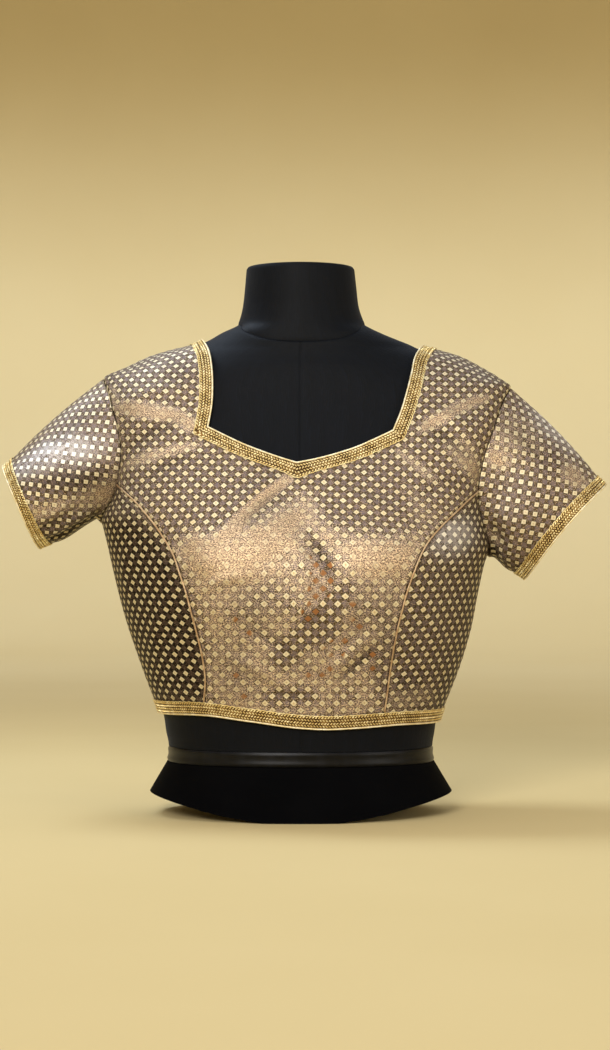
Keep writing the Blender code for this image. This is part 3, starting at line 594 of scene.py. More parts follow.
def between(first: Spot, last: Spot, count: int) -> list[Spot]:
    """Evenly spaced spots on a straight run of this many steps, both ends included."""
    return [tuple(a + (b - a) * k / count for a, b in zip(first, last)) for k in range(count + 1)]


def spaced(
    stops: Sequence[Pair], is_back: bool, count: int, closeness: float = 1.0, last: Spot | None = None
) -> list[Spot]:
    """Spots along a smooth curve through the stops, spaced along the cloth.

    Args:
        stops: The points that it passes, seen from the front.
        is_back: Whether it lies on the back.
        count: How many steps it takes.
        closeness: Above 1 sets the spots closer together towards the end.
        last: A spot that replaces the end's.

    Returns:
        The spots, both ends included.
    """
    fine = [CHOLI.at_across(x, z, is_back) for x, z in curve_through(stops)]
    fine[-1] = last or fine[-1]
    table = np.array(fine)
    lengths = lengths_along(CHOLI.skin(table))
    wanted = lengths[-1] * (1 - (1 - np.arange(count + 1) / count) ** closeness)
    found = [tuple(float(np.interp(w, lengths, table[:, k])) for k in (0, 1)) for w in wanted]
    return [fine[0], *found[1:-1], fine[-1]]


def fill(bottom: Sequence[Spot], top: Sequence[Spot], inner: Sequence[Spot], outer: Sequence[Spot]) -> Array:
    """Rows of spots inside four edges.

    Args:
        bottom: The lowest edge, running outwards.
        top: The highest edge, running outwards.
        inner: The inner edge, running up.
        outer: The outer edge, running up.

    Returns:
        Spots by row and column.
    """
    low, high, near, far = (np.array(edge) for edge in (bottom, top, inner, outer))
    v = np.linspace(0, 1, len(near))[:, None, None]
    u = np.linspace(0, 1, len(low))[None, :, None]
    edges = (1 - v) * low[None] + v * high[None] + (1 - u) * near[:, None] + u * far[:, None]
    corners = (1 - v) * ((1 - u) * low[0] + u * low[-1]) + v * ((1 - u) * high[0] + u * high[-1])
    return edges - corners


def hem_height(face: Face, across: float) -> float:
    """The hem's height this far across."""
    return float(SmoothColumn(*np.array(face.hem).T)(across))


def hem_spot(face: Face, across: float) -> Spot:
    """The hem's spot this far across."""
    return CHOLI.at_across(across, hem_height(face, across), face.is_back)


def armhole_spot(side: Side, angle: float) -> Spot:
    """The spot of the armhole at an angle from its top, forwards and down.

    Args:
        side: The side.
        angle: Degrees from the top.

    Returns:
        The spot.
    """
    hole, way = ARMHOLES[side], math.radians(angle)
    return CHOLI.at_depth(side, -hole.reach * math.sin(way), hole.middle + hole.half * math.cos(way))


def armhole_angle(side: Side, height: float, is_back: bool = False) -> float:
    """The angle at which the armhole passes this height.

    Args:
        side: The side.
        height: The height.
        is_back: Whether its back half is meant.

    Returns:
        Degrees from the top, forwards.
    """
    hole = ARMHOLES[side]
    angle = math.degrees(math.acos((height - hole.middle) / hole.half))
    return 360 - angle if is_back else angle


def underarm_angles(side: Side) -> list[float]:
    """The armhole's angles from its junction with the princess seam down to the underarm.

    Args:
        side: The side.

    Returns:
        The angles.
    """
    junction = armhole_angle(side, ARMHOLES[side].junction)
    return [junction + (180.0 - junction) * k / SIDE_COLUMNS for k in range(SIDE_COLUMNS + 1)]


def armhole_angles(side: Side, face: Face) -> list[float]:
    """The angles of a face's armhole rows, from the lowest row up to the shoulder.

    Args:
        side: The side.
        face: The front or back.

    Returns:
        The angles.
    """
    corner = face.necklines[side].corner[1]
    at_neck = armhole_angle(side, corner, face.is_back)
    at_braid = armhole_angle(side, corner - NECK_BRAID_WIDTH - 1, face.is_back)
    lowest = 180.0 if face.is_back else armhole_angle(side, ARMHOLES[side].junction)
    top = 360.0 if face.is_back else 0.0
    rows = face.neck_row - 1 - JUNCTION_ROW
    low = [lowest + (at_braid - lowest) * k / rows for k in range(rows + 1)]
    parts = [1 - (1 - k / STRAP_ROWS) ** STRAP_CLOSENESS for k in range(STRAP_ROWS + 1)]
    return low + [at_neck + (top - at_neck) * part for part in parts]


def side_seam(side: Side) -> list[Spot]:
    """Spots of a side seam, from the hem's row to the underarm.

    Args:
        side: The side.

    Returns:
        The spots.
    """
    start = (side * 90.0, FRONT.hem[0 if side == Side.LEFT else -1][1])
    top = (side * 90.0, armhole_spot(side, 180.0)[1])
    return [start] + between(CHOLI.raised(start, HEM_BRAID_WIDTH), top, JUNCTION_ROW - 1)


def princess_seam(side: Side) -> list[Spot]:
    """Spots of a princess seam, from the hem's row to its junction with the armhole.

    Args:
        side: The side.

    Returns:
        The spots.
    """
    stops = PRINCESS[side]
    start = hem_spot(FRONT, stops[0][0])
    first = CHOLI.raised(start, HEM_BRAID_WIDTH)
    end = armhole_spot(side, armhole_angle(side, ARMHOLES[side].junction))
    low, high = CHOLI.skin(first), CHOLI.skin(end)
    run = ((low[0], low[2]), *stops[1:], (high[0], high[2]))
    return [start] + spaced(run, False, JUNCTION_ROW - 1, last=end)


def neck_edge(side: Side, face: Face) -> tuple[list[Spot], list[Spot]]:
    """The neck edge of one side.

    Args:
        side: The side.
        face: The front or back.

    Returns:
        Spots along the bottom, and spots from the corner to the shoulder.
    """
    neckline = face.necklines[side]
    bottom = spaced((*neckline.bottom, neckline.corner), face.is_back, CORNER_COLUMN)
    if face.is_back:
        bottom[0] = (side * 180.0, bottom[0][1])
    ridge = CHOLI.ridge(side, neckline.shoulder)
    stops = (neckline.corner, *neckline.strap, (side * neckline.shoulder, ridge[1]))
    return bottom, spaced(stops, face.is_back, STRAP_ROWS, RIDGE_CLOSENESS, ridge)


def braid_line(side: Side, face: Face) -> Spots:
    """The braid's outer line beside a neck edge.

    Args:
        side: The side.
        face: The front or back.

    Returns:
        Spots by row and column, as a panel's are.
    """
    neck = face.neck_row
    bottom, strap = neck_edge(side, face)
    opposite = neck_edge(Side(-side), face)[0]
    width = (-side if face.is_back else side) * NECK_BRAID_WIDTH
    beside = CHOLI.beside
    centre = beside(opposite[1], bottom[0], bottom[1], width)
    drop = 0.0 if face.is_back else NECK_POINT_DROP
    spots = {(neck - 1, 0): (bottom[0][0], CHOLI.raised(centre, -drop)[1])}
    for k in range(1, CORNER_COLUMN):
        spots[neck - 1, k] = beside(bottom[k - 1], bottom[k], bottom[k + 1], width)
    corner = bottom[-1]
    spots[neck - 1, CORNER_COLUMN] = beside(bottom[-2], corner, None, width)
    spots[neck - 1, BRAID_COLUMN] = beside(bottom[-2], corner, strap[1], width)
    spots[neck, BRAID_COLUMN] = beside(None, corner, strap[1], width)
    for k in range(1, STRAP_ROWS):
        spots[neck + k, BRAID_COLUMN] = beside(strap[k - 1], strap[k], strap[k + 1], width)
    at_shoulder = CHOLI.ridge(side, face.necklines[side].shoulder + NECK_BRAID_WIDTH)
    spots[neck + STRAP_ROWS, BRAID_COLUMN] = at_shoulder
    return spots


def hem_row(side: Side, face: Face, outer: Spot) -> list[Spot]:
    """Spots of the hem's edge, from the centre to a panel's outer seam.

    Args:
        side: The side.
        face: The front or back.
        outer: The spot at the outer seam.

    Returns:
        The spots.
    """
    if face.is_back:
        edge = hem_spot(face, side * PLACKET_HALF_WIDTH)
        turns = [side * 180.0] + [spot[0] for spot in between(edge, outer, OUTER_COLUMN - 1)]
    else:
        centre = hem_spot(face, face.necklines[side].bottom[0][0])
        turns = [spot[0] for spot in between(centre, outer, OUTER_COLUMN)]
    rough = [CHOLI.skin((turn, face.hem[0][1])) for turn in turns[:-1]]
    return [(turn, hem_height(face, float(at[0]))) for turn, at in zip(turns, rough)] + [outer]


def body_half(side: Side, face: Face) -> Array:
    """Spots of half the front's middle panel, or of one back.

    Args:
        side: The side.
        face: The front or back.

    Returns:
        Spots by row and column from the centre, with no number above the neckline.
    """
    neck, top = face.neck_row, face.neck_row + STRAP_ROWS
    seam = side_seam(side) if face.is_back else princess_seam(side)
    holes = [armhole_spot(side, angle) for angle in armhole_angles(side, face)]
    low_rows = neck - 1 - JUNCTION_ROW
    outer, strap_outer = seam + holes[1 : low_rows + 1], holes[low_rows + 1 :]
    bottom, strap = neck_edge(side, face)
    line = braid_line(side, face)
    grid = np.full((top + 1, OUTER_COLUMN + 1, 2), np.nan)
    ends = ((neck, strap_outer[0]), (neck - 1, outer[-1]), (top, strap_outer[-1]))
    steps = OUTER_COLUMN - BRAID_COLUMN
    chest, under, shoulder = (between(line[row, BRAID_COLUMN], end, steps) for row, end in ends)
    inner = [line[neck + k, BRAID_COLUMN] for k in range(STRAP_ROWS + 1)]
    grid[neck:, BRAID_COLUMN:] = fill(chest, shoulder, inner, strap_outer)
    hem = hem_row(side, face, seam[0])
    above = [CHOLI.raised(spot, HEM_BRAID_WIDTH) for spot in hem]
    above[-1] = seam[1]
    last = [line[neck - 1, k] for k in range(BRAID_COLUMN)] + under
    grid[1:neck] = fill(above, last, between(above[0], last[0], neck - 2), outer[1:])
    grid[0] = hem
    grid[neck, : CORNER_COLUMN + 1] = bottom
    grid[neck:, CORNER_COLUMN] = strap
    if face.is_back:
        for row in grid[: neck + 1]:
            row[1] = CHOLI.at_across(side * PLACKET_HALF_WIDTH, row[1, 1], True)
    return grid


def side_panel(side: Side) -> Array:
    """Spots of a front side panel, from the princess seam to the side seam.

    Args:
        side: The side.

    Returns:
        Spots by row and column.
    """
    seam, edge = princess_seam(side), side_seam(side)
    start, end = (abs(float(CHOLI.skin(spot)[0])) for spot in (seam[0], edge[0]))
    hem = [seam[0]]
    for k in range(1, SIDE_COLUMNS):
        across = start + (end - start) * math.sin(math.pi / 2 * k / SIDE_COLUMNS)
        hem.append(hem_spot(FRONT, side * across))
    hem.append(edge[0])
    above = [CHOLI.raised(spot, HEM_BRAID_WIDTH) for spot in hem]
    above[0], above[-1] = seam[1], edge[1]
    top = [seam[-1]] + [armhole_spot(side, angle) for angle in underarm_angles(side)[1:]]
    return np.concatenate(([hem], fill(above, top, seam[1:], edge[1:])))


def refined_panel(grid: Array, factor: int, rows: Sequence[int], columns: Sequence[int] = ()) -> Array:
    """A panel's spots at a finer spacing.

    Args:
        grid: The panel's spots.
        factor: How many steps each old step becomes.
        rows: Rows at which its lines may bend sharply.
        columns: Columns at which they may.

    Returns:
        The finer spots.
    """
    fine = []
    with np.errstate(invalid="ignore"):
        for values in (CHOLI.skin(grid), grid):
            wide = refined(values.transpose(1, 0, 2), factor, columns).transpose(1, 0, 2)
            fine.append(refined(wide, factor, rows))
        return CHOLI.nearest(*fine)


def along_run(points: Array, line: Array, marks: Array) -> tuple[Array, Array]:
    """How far points lie from a bent line, and where along it they are.

    Args:
        points: The points.
        line: The line's own points.
        marks: A rising number for each of them.

    Returns:
        The distances, and the places as read between the marks.
    """
    away, place = np.full(points.shape[:-1], np.inf), np.zeros(points.shape[:-1])
    for start, end, low, high in zip(line, line[1:], marks, marks[1:]):
        gap, part = from_line(points, start, end)
        closer = gap < away
        away, place = np.where(closer, gap, away), np.where(closer, low + part * (high - low), place)
    return away, place


@dataclass(frozen=True)
class Stroke:
    """A fold along a smooth run of stops, given across and up in turn."""

    seen: Seen
    width: float
    amount: float
    stops: tuple[float, ...]

    STEPS = 5
    TAPER = 0.7
    SIDE_FADE = 30.0

    def at(self, points: Array) -> Array:
        """How strong the mark is at each point.

        Args:
            points: The points.

        Returns:
            The amount at each.
        """
        line = curve_through(np.reshape(self.stops, (-1, 2)), self.STEPS)
        away, place = along_run(points[..., [0, 2]], line, np.linspace(0, 1, len(line)))
        strength = bell(away, self.width) * np.sin(np.pi * np.clip(place, 0.0, 1.0)) ** self.TAPER
        facing = points[..., 1] < 0 if self.seen is Seen.FRONT else points[..., 1] >= 0
        fade = np.minimum(np.abs(points[..., 1]) / self.SIDE_FADE, 1.0)
        return np.where(facing, self.amount * strength * eased(fade), 0.0)


def strokes(seen: Seen, *rows: tuple[float, ...]) -> tuple[Stroke, ...]:
    """Strokes from rows of width, amount and stops."""
    return tuple(Stroke(seen, width, amount, stops) for width, amount, *stops in rows)


# Folds laid into the cloth: troughs are negative. Widths and amounts are in millimetres
FOLDS = (
    *strokes(
        Seen.FRONT,
        (5.5, -0.4, -62, 222, -20, 232, 24, 246, 70, 262), (6.5, 0.7, -58, 236, -16, 248, 30, 262),
        (3.8, -1.2, 5, 264, 15, 242, 30, 211), (5, 1.2, -8, 254, 2, 230, 8, 198),
        (3, -1.3, -26, 117, -12, 112, 6, 112), (5, 1.9, -19, 306, -44, 290, -66, 270),
        (4.5, -1, -8, 300, -34, 280, -52, 262), (6, 1.5, 24, 300, 58, 282, 96, 268),
        (3.6, -1.7, 34, 124, 52, 142, 76, 163), (4.6, 1.6, 24, 130, 44, 151, 66, 170),
        (6, -1, -60, 176, -22, 160, 10, 132), (5.5, 1.4, -76, 150, -42, 138, -8, 116),
        (5, 1.4, -94, 200, -70, 214, -44, 218), (6, -1.4, -104, 356, -130, 348, -160, 326),
        (6, 1.5, -98, 382, -128, 384, -158, 372), (6, -1.1, -140, 300, -120, 316, -96, 326),
        (6, 1.7, 102, 366, 132, 360, 164, 336), (5.5, -1.3, 110, 348, 134, 338, 158, 316),
        (6, -1, 150, 300, 126, 300, 104, 288), (6, -1.1, -124, 246, -142, 220, -148, 190),
        (6, 1.5, -112, 208, -128, 176, -132, 140), (5, 1.4, -150, 250, -158, 226, -156, 196),
        (6, -1.1, 112, 236, 134, 214, 142, 184), (6, 1.5, 100, 204, 116, 176, 122, 144),
    ),
    *strokes(
        Seen.BACK,
        (7, -0.8, -30, 200, 26, 206, 70, 196), (8, -1.5, -128, 300, -88, 282, -44, 276),
        (8, 1.9, -120, 326, -84, 306, -36, 302), (8, -1.5, 130, 292, 92, 276, 46, 270),
        (8, 1.9, 124, 318, 84, 300, 40, 296), (7, -1.3, -140, 222, -96, 206, -50, 210),
        (7, -1.3, 134, 208, 96, 190, 52, 196), (6, 1.7, -112, 132, -70, 142, -30, 136),
        (6, -1.1, 26, 120, 62, 132, 106, 124), (7, -1.1, -150, 362, -118, 372, -96, 392),
        (7, -1.1, 152, 352, 124, 362, 110, 384),
    ),
)


def fold_lift(points: Array) -> Array:
    """How far the folds lift each point."""
    return sum(fold.at(points) for fold in FOLDS)


@dataclass(frozen=True)
class Patch:
    """An area of the cloth with a soft edge, by its corners across and up in turn."""

    soft: float
    amount: float
    corners: tuple[float, ...]

    def at(self, points: Array) -> Array:
        """How strong the mark is at each point.

        Args:
            points: The points.

        Returns:
            The amount at each.
        """
        corners = np.reshape(self.corners, (-1, 2))
        after = np.roll(corners, -1, 0)
        corners = np.stack((corners * 0.75 + after * 0.25, corners * 0.25 + after * 0.75), 1).reshape(-1, 2)
        across, height = points[..., 0], points[..., 2]
        away, inside = np.full(across.shape, np.inf), np.zeros(across.shape, bool)
        for start, end in zip(corners, np.roll(corners, -1, 0)):
            away = np.minimum(away, from_line(points[..., [0, 2]], start, end)[0])
            if start[1] != end[1]:
                run = end - start
                passed = (start[1] > height) != (end[1] > height)
                inside ^= passed & (across < start[0] + (height - start[1]) / run[1] * run[0])
        return self.amount * eased(np.clip(np.where(inside, away, -away) / self.soft / 2 + 0.5, 0.0, 1.0))


def patches(*rows: tuple[float, ...]) -> tuple[Patch, ...]:
    """Patches from rows of softness, amount and corners."""
    return tuple(Patch(soft, amount, corners) for soft, amount, *corners in rows)


@dataclass(frozen=True)
class Marks:
    """Where one part of the blouse takes painted copper highlight, stays crisp, takes painted shade, takes painted
    silver highlight or turns rusty.
    """

    # The copper and silver marks are painted highlights and the shade marks painted shade; rust is the weave's own
    # colour
    copper_highlight: tuple[Patch, ...]
    crisp: tuple[Patch, ...] = ()
    shade: tuple[Patch, ...] = ()
    silver_highlight: tuple[Patch, ...] = ()
    rust: tuple[Patch, ...] = ()

    def at(self, points: Array) -> tuple[Array, ...]:
        """The strength of the painted copper highlight, painted silver highlight, painted shade and rust at each point.

        Args:
            points: The points.

        Returns:
            The four strengths, from 0 to 1.
        """
        none = np.zeros(points.shape[:-1])
        kinds = (self.copper_highlight, self.crisp, self.shade, self.silver_highlight, self.rust)
        copper_highlight, crisp, shade, silver_highlight, rust = (
            np.maximum.reduce([none, *(mark.at(points) for mark in marks)]) for marks in kinds
        )
        return copper_highlight * (1 - crisp), silver_highlight, shade, rust


# A crisp wedge between the cups, then where each part takes painted highlight and painted shade and turns rusty
WEDGE = (27, 206, 45, 217, 44, 200, 35, 186, 35, 170, 25, 157, 4, 153, -6, 143, -15, 135, -29, 144, -25, 153, -1, 178)
MIDDLE_MARKS = Marks(
    copper_highlight=patches(
        (9, 0.54, -114, 253, -83, 249, -44, 249, -14, 280, 2, 295, 15, 284, 25, 258, 62, 249, 108, 254, 102,
         232, 89, 197, 79, 154, 72, 110, 74, 96, -1, 91, -82, 96, -82, 162, -91, 197, -102, 227),
        (16, 0.88, -112, 252, -60, 254, -24, 272, 6, 290, 6, 246, -6, 222, -40, 204, -100, 210),
        (18, 0.88, 6, 276, 30, 252, 68, 252, 108, 254, 100, 222, 64, 206, 40, 220, 24, 236),
        (2.7, 0.95, -9, 311, -3, 304, -34, 277, -58, 249, -82, 242, -69, 260, -41, 286),
        (4.5, 0.55, 86, 332, 105, 318, 127, 298, 122, 293, 99, 311, 82, 327),
        (4.6, 0.85, 103, 345, 109, 355, 138, 373, 170, 382, 169, 374, 141, 362, 114, 345),
        (7, 0.65, 124, 337, 152, 341, 161, 311, 159, 293, 140, 318),
        (12.6, 0.3, 90, 302, 113, 284, 129, 249, 107, 245, 95, 267),
        (5.5, 0.85, -166, 375, -134, 372, -102, 364, -88, 352, -95, 344, -125, 356, -164, 362),
        (4.6, 0.6, -163, 316, -142, 327, -116, 333, -87, 337, -87, 329, -117, 323, -152, 312),
        (7.2, 0.5, -175, 387, -165, 387, -159, 337, -161, 284, -170, 284, -174, 337),
    ),
    crisp=patches(
        (8, 0.9, *WEDGE), (8.1, 0.3, -29, 162, -3, 169, 0, 145, -23, 138),
        (8.1, 0.85, -36, 119, 10, 122, 16, 105, -29, 102), (8.1, 0.35, 32, 161, 53, 169, 49, 138, 30, 131),
        (9, 0.6, 65, 162, 79, 188, 75, 110, 63, 103), (6, 0.7, 3, 254, 10, 257, 33, 222, 24, 213),
        (9, 0.35, -68, 176, -60, 186, 0, 230, 5, 219), (9, 0.5, 25, 119, 48, 124, 51, 105, 29, 102),
        (12.6, 0.35, -34, 209, -3, 214, 3, 187, -27, 178), (10.8, 0.35, 51, 206, 72, 211, 69, 162, 53, 162),
    ),
    shade=patches(
        (8, 0.12, *WEDGE), (16.2, 0.35, -65, 211, -23, 214, -22, 178, -56, 173),
        (14.4, 0.35, 39, 206, 63, 209, 60, 161, 43, 157), (12.6, 0.5, 67, 197, 86, 214, 82, 110, 65, 105),
        (6, 0.3, 3, 254, 10, 257, 33, 222, 24, 213), (18, 0.3, -77, 166, -37, 166, -41, 110, -75, 110),
        (25.2, 0.12, -161, 311, -115, 324, -89, 324, -88, 258, -123, 262, -156, 284),
        (14.4, 0.3, -139, 421, -103, 423, -95, 388, -126, 399),
    ),
    silver_highlight=patches(
        (10.8, 0.25, -156, 399, -126, 419, -87, 430, -87, 417, -119, 404, -150, 388),
        (10.8, 0.4, 115, 430, 151, 417, 183, 395, 177, 386, 147, 406, 113, 419),
    ),
    rust=patches(
        (5.4, 0.75, 4, 251, 19, 251, 31, 221, 30, 204, 15, 178, -1, 181, 10, 206, 10, 227),
        (7.2, 0.4, -61, 187, -45, 187, -43, 110, -64, 110),
        (6, 0.6, 54, 182, 44, 182, 10, 134, 14, 126, 26, 130),
        (7.2, 0.32, 34, 197, 55, 199, 53, 154, 34, 152), (7.2, 0.32, 15, 148, 38, 155, 38, 135, 3, 124),
        (7.2, 0.32, 53, 154, 73, 154, 73, 128, 53, 128),
    ),
)
# The side panels' painted copper highlight, painted shade and painted silver highlight
FLANK_MARKS = Marks(
    copper_highlight=patches(
        (10.8, 0.5, -133, 119, -83, 115, -82, 96, -124, 96), (10.8, 0.5, 79, 117, 121, 119, 121, 98, 75, 96),
        (10.8, 0.4, -171, 280, -160, 284, -156, 262, -168, 253),
    ),
    shade=patches(
        (14, 0.94, -182, 282, -131, 268, -99, 214, -78, 162, -74, 92, -146, 88, -184, 214),
        (18, 0.45, 93, 223, 121, 245, 155, 232, 147, 162, 121, 100, 79, 100, 84, 162),
        (16.2, 0.6, 81, 142, 121, 145, 119, 105, 75, 103),
    ),
    silver_highlight=patches((14.4, 0.66, 111, 267, 154, 277, 157, 235, 112, 232)),
)
# The backs' painted copper highlight, painted shade and painted silver highlight
BACK_MARKS = Marks(
    copper_highlight=patches(
        (20, 0.45, -138, 322, -100, 334, -44, 300, 8, 262, 66, 236, 58, 212, 0, 232, -62, 268, -120, 296),
        (18, 0.35, 18, 204, 76, 214, 120, 198, 106, 170, 60, 176, 8, 188),
        (6, 0.6, -152, 366, -120, 378, -98, 402, -106, 408, -128, 392, -154, 376),
        (6, 0.6, 152, 356, 126, 368, 112, 394, 118, 402, 134, 382, 154, 366),
        (16, 0.35, -104, 154, -52, 152, -4, 126, -28, 108, -82, 116),
    ),
    shade=patches(
        (30, 0.75, -200, 290, -134, 266, -118, 160, -112, 90, -150, 86, -200, 214),
        (30, 0.5, 200, 290, 138, 262, 122, 160, 116, 90, 150, 86, 200, 214),
    ),
    silver_highlight=patches(
        (10, 0.35, -150, 404, -120, 420, -104, 430, -102, 416, -122, 404, -148, 392),
        (10, 0.35, 112, 430, 128, 420, 152, 402, 148, 390, 126, 404, 112, 416),
        (16, 0.25, 70, 276, 30, 266, 30, 246, 84, 256),
    ),
)


@dataclass(frozen=True)
class SleeveFold:
    """A trough or ridge along a sleeve, with its angles counted forwards from the top."""

    angle: float
    end_angle: float
    start: float
    peak: float
    end: float
    width: float
    depth: float

    def at(self, angle: Array, part: Array) -> Array:
        """How deep the trough is.

        Args:
            angle: Angles from the sleeve's top.
            part: Parts of the sleeve's length.

        Returns:
            The depth at each.
        """
        rising = (part - self.start) / max(self.peak - self.start, 1e-6)
        falling = (self.end - part) / max(self.end - self.peak, 1e-6)
        along = np.clip(np.where(part < self.peak, rising, falling), 0.0, 1.0)
        way = (part - self.start) / (self.end - self.start)
        centre = self.angle + (self.end_angle - self.angle) * way
        away = (angle - centre + 180) % 360 - 180
        return self.depth * np.sin(math.pi / 2 * along) ** 2 * bell(away, self.width)


def sleeve_folds(*rows: tuple[float, ...]) -> tuple[SleeveFold, ...]:
    """Sleeve folds from rows of their numbers."""
    return tuple(SleeveFold(*row) for row in rows)


@dataclass(frozen=True)
class SleeveCut:
    """Where a sleeve's cuff lies, how full it is, how its folds fall, how its weave is turned, and where it takes
    painted highlight and painted shade.
    """

    cuff_top: Pair
    cuff_bottom: Pair
    depth: float
    bow: float
    lean: float
    ease: float
    folds: tuple[SleeveFold, ...]
    creases: tuple[SleeveFold, ...]
    # The sleeve's painted copper and silver highlights and its painted shade
    copper_highlight: tuple[SleeveFold, ...]
    silver_highlight: tuple[SleeveFold, ...]
    shadow: tuple[SleeveFold, ...]
    grain: float
    tight: float


SLEEVES = {
    Side.LEFT: SleeveCut(
        cuff_top=(-273, 317),
        cuff_bottom=(-240.5, 242.6),
        depth=104,
        bow=-2.5,
        lean=8,
        ease=3.5,
        folds=sleeve_folds(
            (180, 180, 0, 0.15, 1, 30, 8.5), (126, 112, 0, 0.3, 0.75, 16, 4),
            (62, 76, 0.05, 0.4, 0.85, 15, 2.6), (234, 250, 0, 0.35, 0.8, 17, 4),
            (300, 288, 0.1, 0.45, 0.9, 15, 2.6),
        ),
        creases=sleeve_folds(
            (40, 52, 0, 0.3, 0.8, 6, 1), (88, 98, 0.05, 0.5, 0.95, 6, -1),
            (142, 128, 0.1, 0.5, 0.95, 6, -1.6), (156, 146, 0, 0.3, 0.8, 5, 1.4),
            (112, 124, 0.4, 0.8, 1.2, 5, -1.5), (124, 136, 0.35, 0.8, 1.2, 5, 2),
            (138, 148, 0.3, 0.75, 1.2, 5, -1.6), (152, 160, 0.3, 0.75, 1.2, 5, 1.8),
            (270, 262, 0.05, 0.4, 0.9, 7, -1.2), (326, 318, 0, 0.4, 0.85, 7, 1),
        ),
        copper_highlight=sleeve_folds(
            (128, 116, -0.3, 0, 0.7, 17, 1), (124, 100, 0.1, 0.9, 1.6, 10, 0.6),
            (280, 262, 0, 0.3, 0.9, 18, 0.5),
        ),
        silver_highlight=sleeve_folds(
            (92, 32, -0.3, 0.6, 1.5, 19, 1), (42, 16, -0.3, 0.25, 0.9, 12, 0.3),
            (318, 322, 0.1, 0.6, 1.2, 14, 0.6),
        ),
        shadow=sleeve_folds((164, 160, -1, 0.5, 2, 28, 0.9), (137, 61, -0.6, 0.5, 1.4, 12, 0.75)),
        grain=1.5,
        tight=1.13,
    ),
    Side.RIGHT: SleeveCut(
        cuff_top=(280.3, 300.2),
        cuff_bottom=(206, 214.2),
        depth=84,
        bow=-5.5,
        lean=0,
        ease=3.5,
        folds=sleeve_folds(
            (180, 180, 0, 0.3, 1, 28, 4.6), (138, 120, 0, 0.25, 0.8, 16, 4.8), (84, 98, 0, 0.35, 0.8, 15, 3),
            (224, 244, 0, 0.3, 0.8, 17, 4.4), (292, 276, 0.1, 0.45, 0.9, 15, 2.8),
        ),
        creases=sleeve_folds(
            (52, 60, 0, 0.35, 0.85, 6, 1), (108, 114, 0.05, 0.4, 0.9, 6, -1.2),
            (158, 150, 0, 0.4, 0.9, 6, -1.2), (128, 138, 0, 0.2, 0.6, 5, 2.2),
            (142, 148, 0, 0.25, 0.7, 5, -1.6), (258, 262, 0.05, 0.4, 0.9, 7, -1.2),
            (322, 312, 0, 0.4, 0.85, 7, 1),
        ),
        copper_highlight=sleeve_folds(
            (82, 74, -0.1, 0.12, 0.4, 6, 0.6), (66, 44, -0.2, 0.2, 0.75, 24, 0.5),
            (146, 134, -0.1, 0.15, 0.6, 12, 0.6), (48, 42, 0.6, 0.88, 1.1, 12, 0.8),
            (280, 268, 0, 0.3, 0.9, 18, 0.5),
        ),
        silver_highlight=sleeve_folds(
            (14, 10, -0.1, 0.5, 1.2, 24, 0.85), (98, 86, 0, 0.4, 1.1, 22, 0.32),
            (336, 340, 0.1, 0.6, 1.2, 14, 0.6),
        ),
        shadow=sleeve_folds(
            (166, 162, -1, 0.5, 2, 22, 0.5), (56, 40, -0.6, 0.45, 1.5, 10, 0.3),
            (152, 150, -0.3, 0.1, 0.6, 15, 0.7),
        ),
        grain=12,
        tight=1.04,
    ),
}


@dataclass
class Grid:
    """A sheet's points, outward directions, weave places and painted highlight and painted shade, by row and column."""

    points: Array
    normals: Array
    weave: Array
    cast: Array
    wraps: bool = False

    def layers(self) -> tuple[Array, ...]:
        """Its four arrays."""
        return self.points, self.normals, self.weave, self.cast

    def reversed_columns(self) -> "Grid":
        """The same sheet with its columns in the other order."""
        return Grid(*(array[:, ::-1] for array in self.layers()), wraps=self.wraps)

    def beside(self, other: "Grid") -> "Grid":
        """This sheet joined to another whose first column is this one's last."""
        return Grid(*(np.concatenate((a, b[:, 1:]), 1) for a, b in zip(self.layers(), other.layers())))


